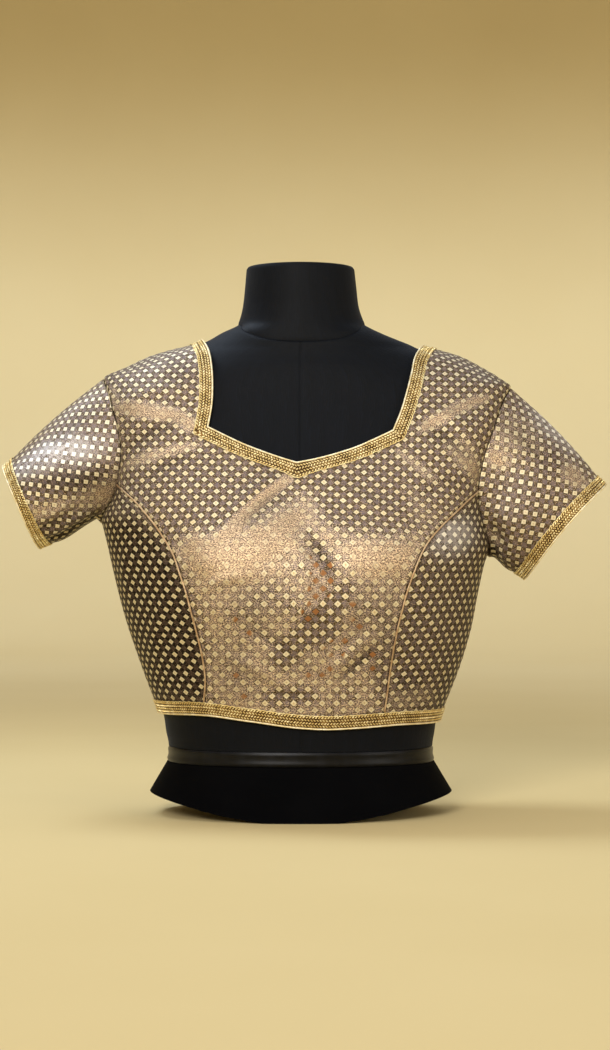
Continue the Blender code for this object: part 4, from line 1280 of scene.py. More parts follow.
@dataclass
class MeshParts:
    """Vertices, faces and finishes collected for one mesh."""

    points: list[Array] = field(default_factory=list)
    faces: list[Array] = field(default_factory=list)
    finishes: list[Array] = field(default_factory=list)
    weave: list[Array] = field(default_factory=list)
    cast: list[Array] = field(default_factory=list)

    def add(
        self, points: Array, faces: Array, finish: int = 0, weave: Array | None = None, cast: Array | None = None
    ) -> None:
        """Adds vertices and faces.

        Args:
            points: Vertices in millimetres.
            faces: Triangles or quads as vertex numbers within points.
            finish: The number of the finish that the faces take.
            weave: The weave place of each vertex.
            cast: The painted copper highlight, painted silver highlight and painted shade of each vertex.
        """
        self.points.append(points)
        self.weave.append(np.zeros((len(points), 3)) if weave is None else weave)
        self.cast.append(np.zeros((len(points), 3)) if cast is None else cast)
        self.cover(faces, finish)

    def cover(self, faces: Array, finish: int = 0) -> None:
        """Adds faces on the vertices that were added last.

        Args:
            faces: Triangles or quads as vertex numbers within them.
            finish: The number of their finish.
        """
        self.faces.append(faces + sum(len(points) for points in self.points[:-1]))
        self.finishes.append(np.full(len(faces), finish, np.int32))

    def build(self, name: str, materials: Sequence[Material], crease: float) -> Piece:
        """Makes the mesh object.

        Args:
            name: The piece's name.
            materials: Its finishes.
            crease: The angle in degrees above which an edge is shaded sharp.

        Returns:
            The object, linked to the scene.
        """
        points = np.concatenate(self.points) * MM
        mesh = bpy.data.meshes.new(name)
        mesh.vertices.add(len(points))
        mesh.vertices.foreach_set("co", points.astype(np.float32).ravel())
        corners = np.concatenate([part.ravel() for part in self.faces]).astype(np.int32)
        sizes = np.concatenate([np.full(len(part), part.shape[1]) for part in self.faces])
        starts = np.concatenate(([0], np.cumsum(sizes)[:-1])).astype(np.int32)
        mesh.loops.add(len(corners))
        mesh.loops.foreach_set("vertex_index", corners)
        mesh.polygons.add(len(sizes))
        mesh.polygons.foreach_set("loop_start", starts)
        mesh.polygons.foreach_set("material_index", np.concatenate(self.finishes))
        for label, values in (("weave", self.weave), ("cast", self.cast)):
            layer = mesh.attributes.new(label, "FLOAT_VECTOR", "POINT")
            layer.data.foreach_set("vector", np.concatenate(values).astype(np.float32).ravel())
        mesh.update(calc_edges=True)
        mesh.validate()
        for material in materials:
            mesh.materials.append(material)
        mesh.shade_smooth()
        mesh.set_sharp_from_angle(angle=math.radians(crease))
        piece = bpy.data.objects.new(name, mesh)
        bpy.context.scene.collection.objects.link(piece)
        return piece


def add_shell(parts: MeshParts, grid: Grid, wall: float) -> None:
    """Adds a thin closed wall on one side of a sheet.

    Args:
        parts: Where it goes.
        grid: The sheet.
        wall: Its thickness, outwards if positive and inwards if negative.
    """
    present = np.isfinite(grid.points[..., 0])
    number = np.full(present.shape, -1)
    if grid.wraps:
        present[:, -1] = False
    number[present] = np.arange(present.sum())
    if grid.wraps:
        number[:, -1] = number[:, 0]
    cells = np.stack((number[:-1, :-1], number[:-1, 1:], number[1:, 1:], number[1:, :-1]), -1).reshape(-1, 4)
    cells = cells[(cells >= 0).all(1)]
    outer = grid.points[present]
    other = outer + grid.normals[present] * wall
    if wall > 0:
        outer, other = other, outer
    edges = np.concatenate([cells[:, [k, (k + 1) % 4]] for k in range(4)])
    _, back, uses = np.unique(np.sort(edges, 1), axis=0, return_inverse=True, return_counts=True)
    near, far = edges[uses[back.ravel()] == 1].T
    count = len(outer)
    rims = np.stack((far, near, near + count, far + count), 1)
    faces = np.concatenate((cells, cells[:, ::-1] + count, rims))
    weave, cast = (np.tile(layer[present], (2, 1)) for layer in (grid.weave, grid.cast))
    parts.add(np.concatenate((outer, other)), faces, 0, weave, cast)


CORD_SIDES = 8


def tube(path: Array, radius: float, closed: bool = False) -> tuple[Array, Array, Array]:
    """A round cord along a path.

    Args:
        path: The points of its middle.
        radius: Its radius.
        closed: Whether it joins up end to end.

    Returns:
        Its vertices, quads and weave places.
    """
    run = unit(np.roll(path, -1, 0) - np.roll(path, 1, 0) if closed else np.gradient(path, axis=0))
    side = np.zeros_like(run)
    guide = np.array((0.0, 0.0, 1.0)) if abs(run[0, 2]) < 0.9 else np.array((1.0, 0.0, 0.0))
    for k, way in enumerate(run):
        guide = unit(guide - way * (guide @ way))
        side[k] = guide
    other = np.cross(run, side)
    angles = np.arange(CORD_SIDES) / CORD_SIDES * FULL_TURN
    ring = np.cos(angles)[None, :, None] * side[:, None] + np.sin(angles)[None, :, None] * other[:, None]
    points = (path[:, None] + ring * radius).reshape(-1, 3)
    weave = np.zeros((len(path), CORD_SIDES, 3))
    weave[..., 0], weave[..., 1] = lengths_along(path)[:, None], angles[None] * radius
    number = np.arange(len(points)).reshape(-1, CORD_SIDES)
    low, high = (number, np.roll(number, -1, 0)) if closed else (number[:-1], number[1:])
    quads = np.stack((low, np.roll(low, -1, 1), np.roll(high, -1, 1), high), -1).reshape(-1, 4)
    return points, quads, weave.reshape(-1, 3)


def srgb(*display: float) -> Colour:
    """A linear colour from display values up to 255."""
    parts = (value / 255 for value in display)
    return tuple(p / 12.92 if p <= 0.04045 else ((p + 0.055) / 1.055) ** 2.4 for p in parts)


class NodeBench:
    """A shorthand for wiring one finish's nodes."""

    def __init__(self, name: str) -> None:
        """Starts a material with a bare shader.

        Args:
            name: The material's name.
        """
        self.material = bpy.data.materials.new(name)
        self.material.use_nodes = True
        self.tree = self.material.node_tree
        self.shader = self.tree.nodes["Principled BSDF"]

    def node(self, kind: str, **settings: object) -> bpy.types.Node:
        """A new node.

        Args:
            kind: The node's type, without its ShaderNode prefix.
            settings: Its properties.

        Returns:
            The node.
        """
        made = self.tree.nodes.new("ShaderNode" + kind)
        for name, value in settings.items():
            setattr(made, name, value)
        return made

    def wire(self, source: object, target: Socket) -> None:
        """Joins a socket to another, or sets it to a plain value.

        Args:
            source: A socket, a number or a colour.
            target: The input.
        """
        if isinstance(source, Socket):
            self.tree.links.new(source, target)
        elif isinstance(source, (int, float)):
            target.default_value = float(source)
        else:
            target.default_value = (*source, 1.0)[: len(target.default_value)]

    def maths(self, way: str, a: object, b: object = 0.0, clamp: bool = False) -> Socket:
        """One sum.

        Args:
            way: The operation's name.
            a: The first value.
            b: The second value.
            clamp: Whether the result is held between 0 and 1.

        Returns:
            The result.
        """
        node = self.node("Math", operation=way, use_clamp=clamp)
        self.wire(a, node.inputs[0])
        self.wire(b, node.inputs[1])
        return node.outputs[0]

    def times(self, a: object, b: object) -> Socket:
        """Two values multiplied."""
        return self.maths("MULTIPLY", a, b)

    def plus(self, a: object, b: object, clamp: bool = False) -> Socket:
        """Two values added."""
        return self.maths("ADD", a, b, clamp)

    def less(self, a: object, b: object, clamp: bool = False) -> Socket:
        """The second value taken from the first."""
        return self.maths("SUBTRACT", a, b, clamp)

    def wave(self, value: object, length: float) -> Socket:
        """A sine wave of this length."""
        return self.maths("SINE", self.times(value, FULL_TURN / length))

    def band(self, value: object, low: float, high: float) -> Socket:
        """0 below low, 1 above high and smooth between; low may be the larger.

        Args:
            value: The value.
            low: Where it is 0.
            high: Where it is 1.

        Returns:
            The result.
        """
        node = self.node("MapRange", interpolation_type="SMOOTHSTEP")
        self.wire(value, node.inputs["Value"])
        for k, end in enumerate((low, high, 0.0, 1.0) if low < high else (high, low, 1.0, 0.0)):
            node.inputs[k + 1].default_value = end
        return node.outputs[0]

    def mix(self, part: object, first: object, second: object) -> Socket:
        """A mix of two colours.

        Args:
            part: How much of the second.
            first: The first colour.
            second: The second colour.

        Returns:
            The colour.
        """
        node = self.node("Mix", data_type="RGBA", blend_type="MIX")
        for source, socket in ((part, 0), (first, 6), (second, 7)):
            self.wire(source, node.inputs[socket])
        return node.outputs[2]

    def place(self) -> Socket:
        """The place on the object, in metres."""
        return self.node("TexCoord").outputs["Object"]

    def split(self, name: str) -> tuple[Socket, ...]:
        """The three numbers of a named layer of the mesh.

        Args:
            name: The layer.

        Returns:
            Its numbers.
        """
        node = self.node("SeparateXYZ")
        self.wire(self.node("Attribute", attribute_name=name).outputs["Vector"], node.inputs[0])
        return tuple(node.outputs)

    def join(self, x: object, y: object) -> Socket:
        """A flat vector from two numbers.

        Args:
            x: The first.
            y: The second.

        Returns:
            The vector.
        """
        node = self.node("CombineXYZ")
        self.wire(x, node.inputs[0])
        self.wire(y, node.inputs[1])
        return node.outputs[0]

    def noise(self, place: object, scale: float, detail: float = 2.0) -> Socket:
        """Cloudy noise from 0 to 1.

        Args:
            place: Where it is read.
            scale: How fine it is.
            detail: How many finer layers it has.

        Returns:
            The noise.
        """
        node = self.node("TexNoise")
        for name, value in (("Vector", place), ("Scale", scale), ("Detail", detail)):
            self.wire(value, node.inputs[name])
        return node.outputs["Fac"]

    def bump(self, height: object, distance: float, strength: float, under: object = None) -> Socket:
        """A relief.

        Args:
            height: The height, from 0 to 1.
            distance: How far 1 stands out, in metres.
            strength: How strong it is.
            under: A relief that it lies on.

        Returns:
            The bent outward direction.
        """
        node = self.node("Bump")
        for name, value in (("Height", height), ("Distance", distance), ("Strength", strength), ("Normal", under)):
            if value is not None:
                self.wire(value, node.inputs[name])
        return node.outputs[0]

    def finish(self, colour: object, roughness: object, normal: object, **plain: object) -> Material:
        """Wires the shader.

        Args:
            colour: The base colour.
            roughness: The roughness.
            normal: The relief.
            plain: Plain values of other sockets, with _ for a space.

        Returns:
            The material.
        """
        for name, value in {"Base_Color": colour, "Roughness": roughness, "Normal": normal, **plain}.items():
            self.wire(value, self.shader.inputs[name.replace("_", " ")])
        return self.material


@dataclass(frozen=True)
class Brocade:
    """Brown silk brocade with small woven gold lozenges on a metal weft."""

    pitch: float = 12.6
    rise: float = 13.1
    half: float = 0.238
    thread: float = 0.62
    ground: Colour = srgb(108, 91, 80)
    strip: Colour = srgb(80, 64, 38)
    square: Colour = srgb(122, 107, 104)
    lilac: Colour = srgb(102, 98, 112)
    olive: Colour = srgb(104, 90, 52)
    # The next three colours are the ground in painted shade
    shaded_strip: Colour = srgb(4, 2, 1)
    shadow: Colour = srgb(50, 38, 25)
    shaded_fleck: Colour = srgb(84, 68, 50)
    glint: Colour = srgb(170, 146, 122)
    pit: Colour = srgb(40, 29, 18)
    # Metal weft colours shown where the painted copper highlight falls
    dull: Colour = srgb(188, 167, 146)
    beige: Colour = srgb(204, 177, 145)
    bright: Colour = srgb(236, 210, 170)
    brown: Colour = srgb(104, 84, 72)
    # The ground's painted silver highlight
    silver_highlight: Colour = srgb(218, 212, 208)
    figure: Colour = srgb(219, 208, 176)
    heart: Colour = srgb(172, 142, 90)
    # Lozenge hearts under the painted copper highlight
    highlight_heart: Colour = srgb(168, 138, 88)
    amber: Colour = srgb(198, 166, 108)
    honey: Colour = srgb(206, 178, 120)
    # Lozenges whitened by painted silver highlight, then dimmed by painted shade
    lit: Colour = srgb(255, 253, 248)
    dim: Colour = srgb(156, 140, 92)
    rust: Colour = srgb(144, 98, 58)

    def build(self) -> Material:
        """Makes the material.

        Returns:
            The material.
        """
        bench = NodeBench("Brocade")
        maths, times, plus, less, band, mix = bench.maths, bench.times, bench.plus, bench.less, bench.band, bench.mix
        u, v, rusty = bench.split("weave")
        # The cast layer holds the painted copper highlight, painted silver highlight and painted shade
        copper_highlight, silver_highlight, shade = bench.split("cast")
        place = bench.join(u, v)
        speck = bench.noise(bench.join(u, times(v, 1.2)), 0.95)
        fleck = bench.noise(bench.join(plus(u, 91.0), times(v, 1.4)), 0.62, 1.0)
        cloud = bench.noise(place, 0.045)

        # Lozenges, from two slanted sets of stripes
        wander = times(less(bench.noise(place, 0.12, 1.0), 0.5), 1.3)
        across = maths("DIVIDE", plus(u, wander), self.pitch)
        up = maths("DIVIDE", less(v, wander), self.rise)
        runs = (plus(across, up), less(across, up))
        cells = [maths("FLOOR", run) for run in runs]
        sides = [less(maths("FRACT", run), 0.5) for run in runs]
        ways = [maths("ABSOLUTE", side) for side in sides]
        near, far = maths("MINIMUM", *ways), maths("MAXIMUM", *ways)
        wide, tall = (maths("ABSOLUTE", side) for side in (plus(*sides), less(*sides)))
        edge = plus(times(wide, 0.47), times(tall, 0.535))
        chance = bench.node("TexWhiteNoise", noise_dimensions="2D")
        bench.wire(bench.join(*cells), chance.inputs["Vector"])
        luck = chance.outputs["Value"]
        lozenge = band(edge, self.half + 0.008, self.half - 0.012)
        rim = band(edge, 0.34, 0.25)
        heart = band(far, 0.12, 0.03)
        crossing = band(near, 0.2, 0.25)

        # Silk ground between them
        ground = mix(crossing, self.strip, self.square)
        ground = mix(band(speck, 0.46, 0.6), ground, mix(0.5, ground, self.ground))
        tint = bench.noise(bench.join(less(u, 57.0), v), 0.42, 1.0)
        ground = mix(times(band(tint, 0.54, 0.7), 0.5), ground, self.lilac)
        ground = mix(times(band(tint, 0.46, 0.3), 0.5), ground, self.olive)
        ground = mix(band(fleck, 0.55, 0.66), ground, self.glint)
        ground = mix(band(speck, 0.42, 0.32), ground, self.pit)
        ground = mix(times(rim, 0.6), ground, self.pit)

        # Metal weft shown where the painted copper highlight falls, its strength varied by noise
        drift = times(less(cloud, 0.5), 0.6)
        drift = plus(drift, times(less(bench.noise(place, 0.22), 0.5), 0.7))
        glow = plus(copper_highlight, times(drift, band(copper_highlight, 0.0, 0.3)), True)
        metal = mix(band(glow, 0.5, 0.85), self.dull, self.beige)
        metal = mix(band(speck, 0.42, 0.56), self.brown, metal)
        metal = mix(band(fleck, 0.54, 0.66), metal, self.bright)
        metal = mix(band(fleck, 0.42, 0.3), metal, self.brown)
        metal = mix(times(less(1.0, crossing), 0.12), metal, self.brown)
        line = band(maths("ABSOLUTE", less(far, 0.27)), 0.026, 0.0)
        metal = mix(times(line, 0.5), metal, self.pit)
        ground = mix(band(plus(speck, times(glow, 0.42)), 0.62, 0.74), ground, metal)
        # Painted shade darkens the ground to near-black strips, and painted silver sheen pales it
        deep_shade = mix(crossing, self.shaded_strip, self.shadow)
        deep_shade = mix(band(fleck, 0.56, 0.7), deep_shade, self.shaded_fleck)
        ground = mix(times(shade, 0.96), ground, deep_shade)
        sheen = times(times(silver_highlight, silver_highlight), band(plus(speck, drift), 0.3, 0.62))
        ground = mix(times(sheen, 0.8), ground, self.silver_highlight)

        # Gold of the lozenges, whitened by painted silver highlight, dimmed by painted shade and washed out under
        # strong painted copper highlight
        gold = mix(times(heart, 0.65), self.figure, self.heart)
        gold = mix(times(times(heart, copper_highlight), 0.6), gold, self.highlight_heart)
        gold = mix(band(speck, 0.42, 0.3), gold, self.amber)
        gold = mix(times(luck, 0.3), gold, self.honey)
        gold = mix(times(silver_highlight, 0.85), gold, self.lit)
        gold = mix(times(shade, 0.45), gold, self.dim)
        gold = mix(band(less(rusty, luck), -0.05, 0.12), gold, self.rust)
        # Lozenges wash out where the painted copper highlight is strong
        highlight_washout = less(times(glow, 1.7), 0.6, True)
        fade = less(1.0, times(highlight_washout, band(plus(speck, times(luck, 0.2)), 0.36, 0.62)))
        figure = times(lozenge, fade)

        relief = bench.bump(times(bench.wave(u, self.thread), bench.wave(v, self.thread)), 0.00006, 0.5)
        relief = bench.bump(speck, 0.0003, 0.8, relief)
        relief = bench.bump(figure, 0.00022, 0.7, relief)
        metallic = less(plus(0.4, times(glow, 0.2)), times(shade, 0.36))
        return bench.finish(
            mix(figure, ground, gold), plus(0.3, times(speck, 0.25)), relief, Metallic=metallic, Specular_IOR_Level=0.02
        )


@dataclass(frozen=True)
class Gilt:
    """Gold braid thread, with a fine twist along each stitch."""

    name: str
    colour: Colour
    low: Colour
    bright: Colour
    roughness: float = 0.3
    metallic: float = 0.75

    def build(self) -> Material:
        """Makes the material.

        Returns:
            The material.
        """
        bench = NodeBench(self.name)
        place = bench.place()
        cloud, speck = bench.noise(place, 160.0), bench.noise(place, 1500.0)
        u, v, _ = bench.split("weave")
        twist = bench.maths("SINE", bench.times(bench.plus(u, bench.times(v, 1.2)), 9.0))
        colour = bench.mix(bench.band(cloud, 0.38, 0.66), self.colour, self.bright)
        colour = bench.mix(bench.band(speck, 0.46, 0.32), colour, self.low)
        relief = bench.bump(speck, 0.0001, 0.5, bench.bump(twist, 0.00006, 0.6))
        rough = bench.plus(self.roughness, bench.times(speck, 0.15))
        return bench.finish(colour, rough, relief, Metallic=self.metallic)


@dataclass(frozen=True)
class Jersey:
    """Black stretch jersey, ribbed upright."""

    rib: float = 1.15
    course: float = 0.9
    dark: Colour = srgb(2, 3, 5)
    light: Colour = srgb(6, 9, 16)
    sheen: Colour = (0.42, 0.6, 1.0)

    def build(self) -> Material:
        """Makes the material.

        Returns:
            The material.
        """
        bench = NodeBench("Form jersey")
        times, plus = bench.times, bench.plus
        u, v, _ = bench.split("weave")
        slow = bench.noise(bench.join(u, times(v, 0.12)), 0.16, 3.0)
        rib = bench.wave(plus(u, times(bench.less(slow, 0.5), 9.0)), self.rib)
        knit = plus(rib, times(bench.wave(v, self.course), 0.35))
        fuzz = bench.noise(bench.join(u, v), 1.4, 3.0)
        tone = plus(plus(times(knit, 0.22), times(slow, 0.6)), times(fuzz, 0.3))
        colour = bench.mix(bench.band(tone, 0.2, 0.85), self.dark, self.light)
        relief = bench.bump(times(plus(knit, 1.4), 0.35), 0.00009, 0.6)
        relief = bench.bump(fuzz, 0.00012, 0.35, relief)
        sheen = {"Sheen_Weight": 0.04, "Sheen_Roughness": 0.4, "Sheen_Tint": self.sheen}
        return bench.finish(colour, plus(0.56, times(fuzz, 0.16)), relief, Specular_IOR_Level=0.12, **sheen)


@dataclass(frozen=True)
class Satin:
    """A glossy woven elastic band."""

    ridge: float = 0.8
    dark: Colour = srgb(4, 4, 5)
    light: Colour = srgb(11, 12, 16)

    def build(self) -> Material:
        """Makes the material.

        Returns:
            The material.
        """
        bench = NodeBench("Waist band satin")
        u, v, _ = bench.split("weave")
        streak = bench.noise(bench.join(u, bench.times(v, 0.25)), 0.09)
        colour = bench.mix(bench.band(streak, 0.4, 0.7), self.dark, self.light)
        relief = bench.bump(bench.wave(v, self.ridge), 0.00005, 0.5)
        return bench.finish(colour, bench.plus(0.24, bench.times(streak, 0.18)), relief, Specular_IOR_Level=0.2)


@dataclass(frozen=True)
class MattBlack:
    """Matt black flock on the base."""

    dark: Colour = srgb(0, 0, 1)
    light: Colour = srgb(5, 5, 6)

    def build(self) -> Material:
        """Makes the material.

        Returns:
            The material.
        """
        bench = NodeBench("Base black")
        place = bench.place()
        nap = bench.noise(place, 1400.0)
        colour = bench.mix(bench.noise(place, 18.0, 3.0), self.dark, self.light)
        relief = bench.bump(nap, 0.00015, 0.4)
        return bench.finish(colour, bench.plus(0.78, bench.times(nap, 0.12)), relief, Specular_IOR_Level=0.04)


@dataclass(frozen=True)
class PaleWall:
    """A plain pale painted surface in cream, with painted shade: a darker sand tone on the floor, where the lamps light
    it most, and darker high up.
    """

    floor: tuple[Colour, Colour] = (srgb(207, 186, 134), srgb(215, 195, 145))
    cream: tuple[Colour, Colour] = (srgb(245, 229, 181), srgb(250, 236, 192))
    top: tuple[Colour, Colour] = (srgb(172, 149, 98), srgb(181, 159, 108))

    def build(self) -> Material:
        """Makes the material.

        Returns:
            The material.
        """
        bench = NodeBench("Pale backdrop")
        place = bench.place()
        cloud = bench.noise(place, 2.2, 3.0)
        spread = bench.node("VectorMath", operation="LENGTH")
        height = bench.node("SeparateXYZ")
        for node in (spread, height):
            bench.wire(place, node.inputs[0])
        floor, cream, top = (bench.mix(cloud, *pair) for pair in (self.floor, self.cream, self.top))
        # Painted shade: the sand tone on the floor near the middle and the darker tone high up
        colour = bench.mix(bench.band(spread.outputs["Value"], 1.0, 3.2), floor, cream)
        colour = bench.mix(bench.band(height.outputs["Z"], 0.7, 1.85), colour, top)
        relief = bench.bump(bench.noise(place, 300.0), 0.0004, 0.15)
        return bench.finish(colour, 0.9, relief, Specular_IOR_Level=0.1)


CUFF_ROWS = 5


class WeaveMap:
    """Where each spot of the body lies on the flat cloth, in millimetres across and up."""

    def __init__(self, hull: Hull, ease: float = 0.16, widen: float = 0.08) -> None:
        """Measures the body along its turns and heights.

        Args:
            hull: The body.
            ease: How much more cloth lies up the slope of the chest than its skin shows.
            widen: How much more lies across it.
        """
        self.turns = np.linspace(-180.0, 180.0, 361)
        self.heights = np.linspace(68.0, 442.0, 188)
        spots = np.stack(np.meshgrid(self.turns, self.heights), -1)
        across = np.array([lengths_along(row) for row in hull.skin(spots)])
        slope = eased(np.clip((self.heights - 236.0) / 40.0, 0.0, 1.0))[:, None]
        self.across = (across - across[:, [180]]) * (1 + widen * slope)
        along, up = hull.tangents(spots)
        rate = np.linalg.norm(np.cross(along, up), axis=-1) / np.linalg.norm(along, axis=-1)
        rate = np.where(np.abs(self.turns) < 90, rate * (1 + ease * slope), rate)
        gap = self.heights[1] - self.heights[0]
        climbed = np.cumsum((rate[1:] + rate[:-1]) / 2 * gap, 0)
        self.up = np.concatenate((np.zeros((1, len(self.turns))), climbed))

    def at(self, spots: Array, is_back: bool) -> tuple[Array, Array]:
        """The flat place of spots.

        Args:
            spots: The spots.
            is_back: Whether it is measured from the centre back.

        Returns:
            Millimetres across from the centre and up from below the hem.
        """
        turn, height = spots[..., 0], spots[..., 1]
        column = np.nan_to_num(turn - self.turns[0])
        row = np.nan_to_num((height - self.heights[0]) / (self.heights[1] - self.heights[0]))
        i = np.clip(column.astype(int), 0, len(self.turns) - 2)
        j = np.clip(row.astype(int), 0, len(self.heights) - 2)
        s, t = np.clip(column - i, 0, 1), np.clip(row - j, 0, 1)
        found = []
        for table in (self.across, self.up):
            low = table[j, i] * (1 - s) + table[j, i + 1] * s
            high = table[j + 1, i] * (1 - s) + table[j + 1, i + 1] * s
            found.append(low * (1 - t) + high * t)
        end = np.where(turn > 0, -1, 0)
        centre = self.across[j, end] * (1 - t) + self.across[j + 1, end] * t
        return found[0] - centre * is_back, found[1]


@dataclass
class SeamRelief:
    """The ditch, pressed fold and small puckers along sewn seams."""

    lines: list[Array]
    ditch: float = 0.6
    fold: float = 0.35
    pucker: float = 0.2

    def at(self, points: Array) -> tuple[Array, Array, Array]:
        """What the seams do to each point.

        Args:
            points: Points with coordinates last.

        Returns:
            How far each is lifted, and how strong the painted shade in the ditch and the painted highlight on the
            pressed fold are.
        """
        lift, dark, shine = np.zeros((3, *points.shape[:-1]))
        for line in self.lines:
            away, place = along_run(points, line, lengths_along(line))
            wave = np.sin(FULL_TURN * place / 8.5 + 1.9 * np.sin(place / 21.0))
            lift += self.fold * bell(away - 3.4, 1.5) - self.ditch * bell(away, 1.3)
            lift += self.pucker * wave * bell(away - 5.0, 5.0)
            # Painted shade in the seam's ditch and painted highlight on its pressed fold
            dark = np.maximum(dark, bell(away, 1.4))
            shine = np.maximum(shine, bell(away - 2.8, 1.0))
        return lift, dark, shine


@dataclass
class Ribbon:
    """A closed strip between two lines on the cloth, with outward directions."""

    inner: Array
    outer: Array
    normals: Array

    def __post_init__(self) -> None:
        """Measures the strip along its middle."""
        middle = (self.inner + self.outer) / 2
        keep = np.diff(lengths_along(middle), prepend=-1.0) > 1e-4
        self.inner, self.outer, self.normals = (rows[keep] for rows in (self.inner, self.outer, self.normals))
        self.lengths = lengths_along(middle[keep])
        self.length = float(self.lengths[-1])

    def line(self, values: Array, s: Array) -> Array:
        """Rows of values read at lengths along the strip."""
        return np.stack([np.interp(s, self.lengths, column) for column in values.T], -1)

    def at(self, s: Array, t: Values, lift: float) -> Array:
        """Points of the strip.

        Args:
            s: Lengths along it.
            t: Parts of the way from its inner to its outer line.
            lift: How far out from the cloth.

        Returns:
            The points.
        """
        inner, outer = self.line(self.inner, s), self.line(self.outer, s)
        return inner + (outer - inner) * np.asarray(t)[..., None] + unit(self.line(self.normals, s)) * lift


@dataclass
class BraidTrim:
    """Gold braid: a thin net ribbon with slanted stitches in relief and a cord on its edge."""

    name: str
    pitch: float = 2.7
    rows: tuple[float, ...] = (0.24, 0.44, 0.66, 0.87)
    stitch: tuple[float, float, float] = (3.1, 1.4, 0.7)
    stitch_sides: int = 8
    slant: float = 38.0
    edge: float = 0.045
    edge_radius: float = 0.85
    far_edge: float = 0.985
    wave: float = 0.25

    def build(self, ribbon: Ribbon, materials: Sequence[Material]) -> Piece:
        """Makes the trim.

        Args:
            ribbon: The strip that it covers.
            materials: The net's, stitches' and cord's finishes.

        Returns:
            The piece.
        """
        parts = MeshParts()
        self.add_net(parts, ribbon)
        self.add_stitches(parts, ribbon)
        self.add_edges(parts, ribbon)
        return parts.build(self.name, materials, 50)

    def add_net(self, parts: MeshParts, ribbon: Ribbon) -> None:
        """Adds the flat net that the stitches sit on.

        Args:
            parts: Where it goes.
            ribbon: The strip.
        """
        s = np.linspace(0.0, ribbon.length, max(int(ribbon.length / 2.0), 8) + 1)
        t = np.array((0.0, 0.12, 0.5, 0.88, 1.0))
        points = np.stack([ribbon.at(s, *place) for place in zip(t, (0.3, 0.5, 0.6, 0.5, 0.3))])
        normals = np.repeat(ribbon.line(ribbon.normals, s)[None], len(t), 0)
        weave = np.zeros_like(points)
        weave[..., 0], weave[..., 1] = s, t[:, None] * 12
        grid = Grid(points, normals, weave, np.zeros_like(points))
        run, rise = points[0, 1] - points[0, 0], points[1, 0] - points[0, 0]
        if np.cross(run, rise) @ normals[0, 0] < 0:
            grid = grid.reversed_columns()
        add_shell(parts, grid, -0.3)

    def add_stitches(self, parts: MeshParts, ribbon: Ribbon) -> None:
        """Adds rows of plump slanted stitches.

        Args:
            parts: Where they go.
            ribbon: The strip.
        """
        sides, (long, wide, tall) = self.stitch_sides, self.stitch
        k = np.arange(sides)
        after = (k + 1) % sides
        angles = k / sides * FULL_TURN
        rings = [
            np.stack((np.cos(angles) * size, np.sin(angles) * size, np.full(sides, level)), 1)
            for size, level in ((1.0, -0.35), (0.74, 0.66))
        ]
        shape = np.concatenate((*rings, ((0.0, 0.0, 1.0),))) * (long / 2, wide / 2, tall)
        quads = np.stack((k, after, after + sides, k + sides), 1)
        tips = np.stack((k + sides, after + sides, np.full(sides, 2 * sides)), 1)
        count = max(int(round(ribbon.length / self.pitch)), 4)
        shift = (np.arange(count) * len(shape))[:, None, None]
        for number, row in enumerate(self.rows):
            odd = number % 2
            s = np.clip((np.arange(count) + 0.5 * odd) / count * ribbon.length, 0.4, ribbon.length - 0.4)
            here, ahead, behind = (
                ribbon.at(np.clip(s + step, 0.0, ribbon.length), row, 0.62) for step in (0.0, 0.8, -0.8)
            )
            along, normal = unit(ahead - behind), unit(ribbon.line(ribbon.normals, s))
            slant = self.slant * (1 if odd else -1) + 7.0 * np.sin(s * 1.7 + number) + 4.0 * np.sin(s * 0.61)
            slant = np.radians(slant)[:, None]
            size = 1 + 0.08 * np.sin(s * 2.3 + 2.0 * number)
            first = along * np.cos(slant) + np.cross(normal, along) * np.sin(slant)
            second = np.cross(normal, first)
            points = here[:, None] + shape[:, :1] * first[:, None] * size[:, None, None]
            points = points + shape[:, 1:2] * second[:, None] + shape[:, 2:] * normal[:, None]
            weave = np.zeros_like(points)
            weave[..., 0], weave[..., 1] = shape[:, 0] + s[:, None], shape[:, 1]
            parts.add(points.reshape(-1, 3), (quads + shift).reshape(-1, 4), 1, weave.reshape(-1, 3))
            parts.cover((tips + shift).reshape(-1, 3), 1)

    def add_edges(self, parts: MeshParts, ribbon: Ribbon) -> None:
        """Adds the cord on the inner line and the wavy lip on the outer one.

        Args:
            parts: Where they go.
            ribbon: The strip.
        """
        s = np.linspace(0.0, ribbon.length, max(int(ribbon.length / 1.6), 12) + 1)[:-1]
        lip = self.far_edge + self.wave / 12.0 * np.sin(s * FULL_TURN / (2 * self.pitch))
        for part, lift, radius, finish in ((self.edge, 0.75, self.edge_radius, 2), (lip, 0.55, 0.5, 1)):
            points, quads, weave = tube(ribbon.at(s, part, lift), radius, closed=True)
            parts.add(points, quads, finish, weave)


def drawn_in(grid: Grid, has_top: bool = True) -> Grid:
    """Draws a sheet's sewn edges in by half the gap between pieces.

    Args:
        grid: The sheet.
        has_top: Whether its top is sewn as well as its sides.

    Returns:
        The same sheet.
    """
    points = grid.points
    edges = [(points[:, 0], points[:, 1]), (points[:, -1], points[:, -2]), (points[-1], points[-2])]
    with np.errstate(invalid="ignore"):
        for edge, inside in edges if has_top else edges[:2]:
            edge += unit(inside - edge) * GAP / 2
    return grid


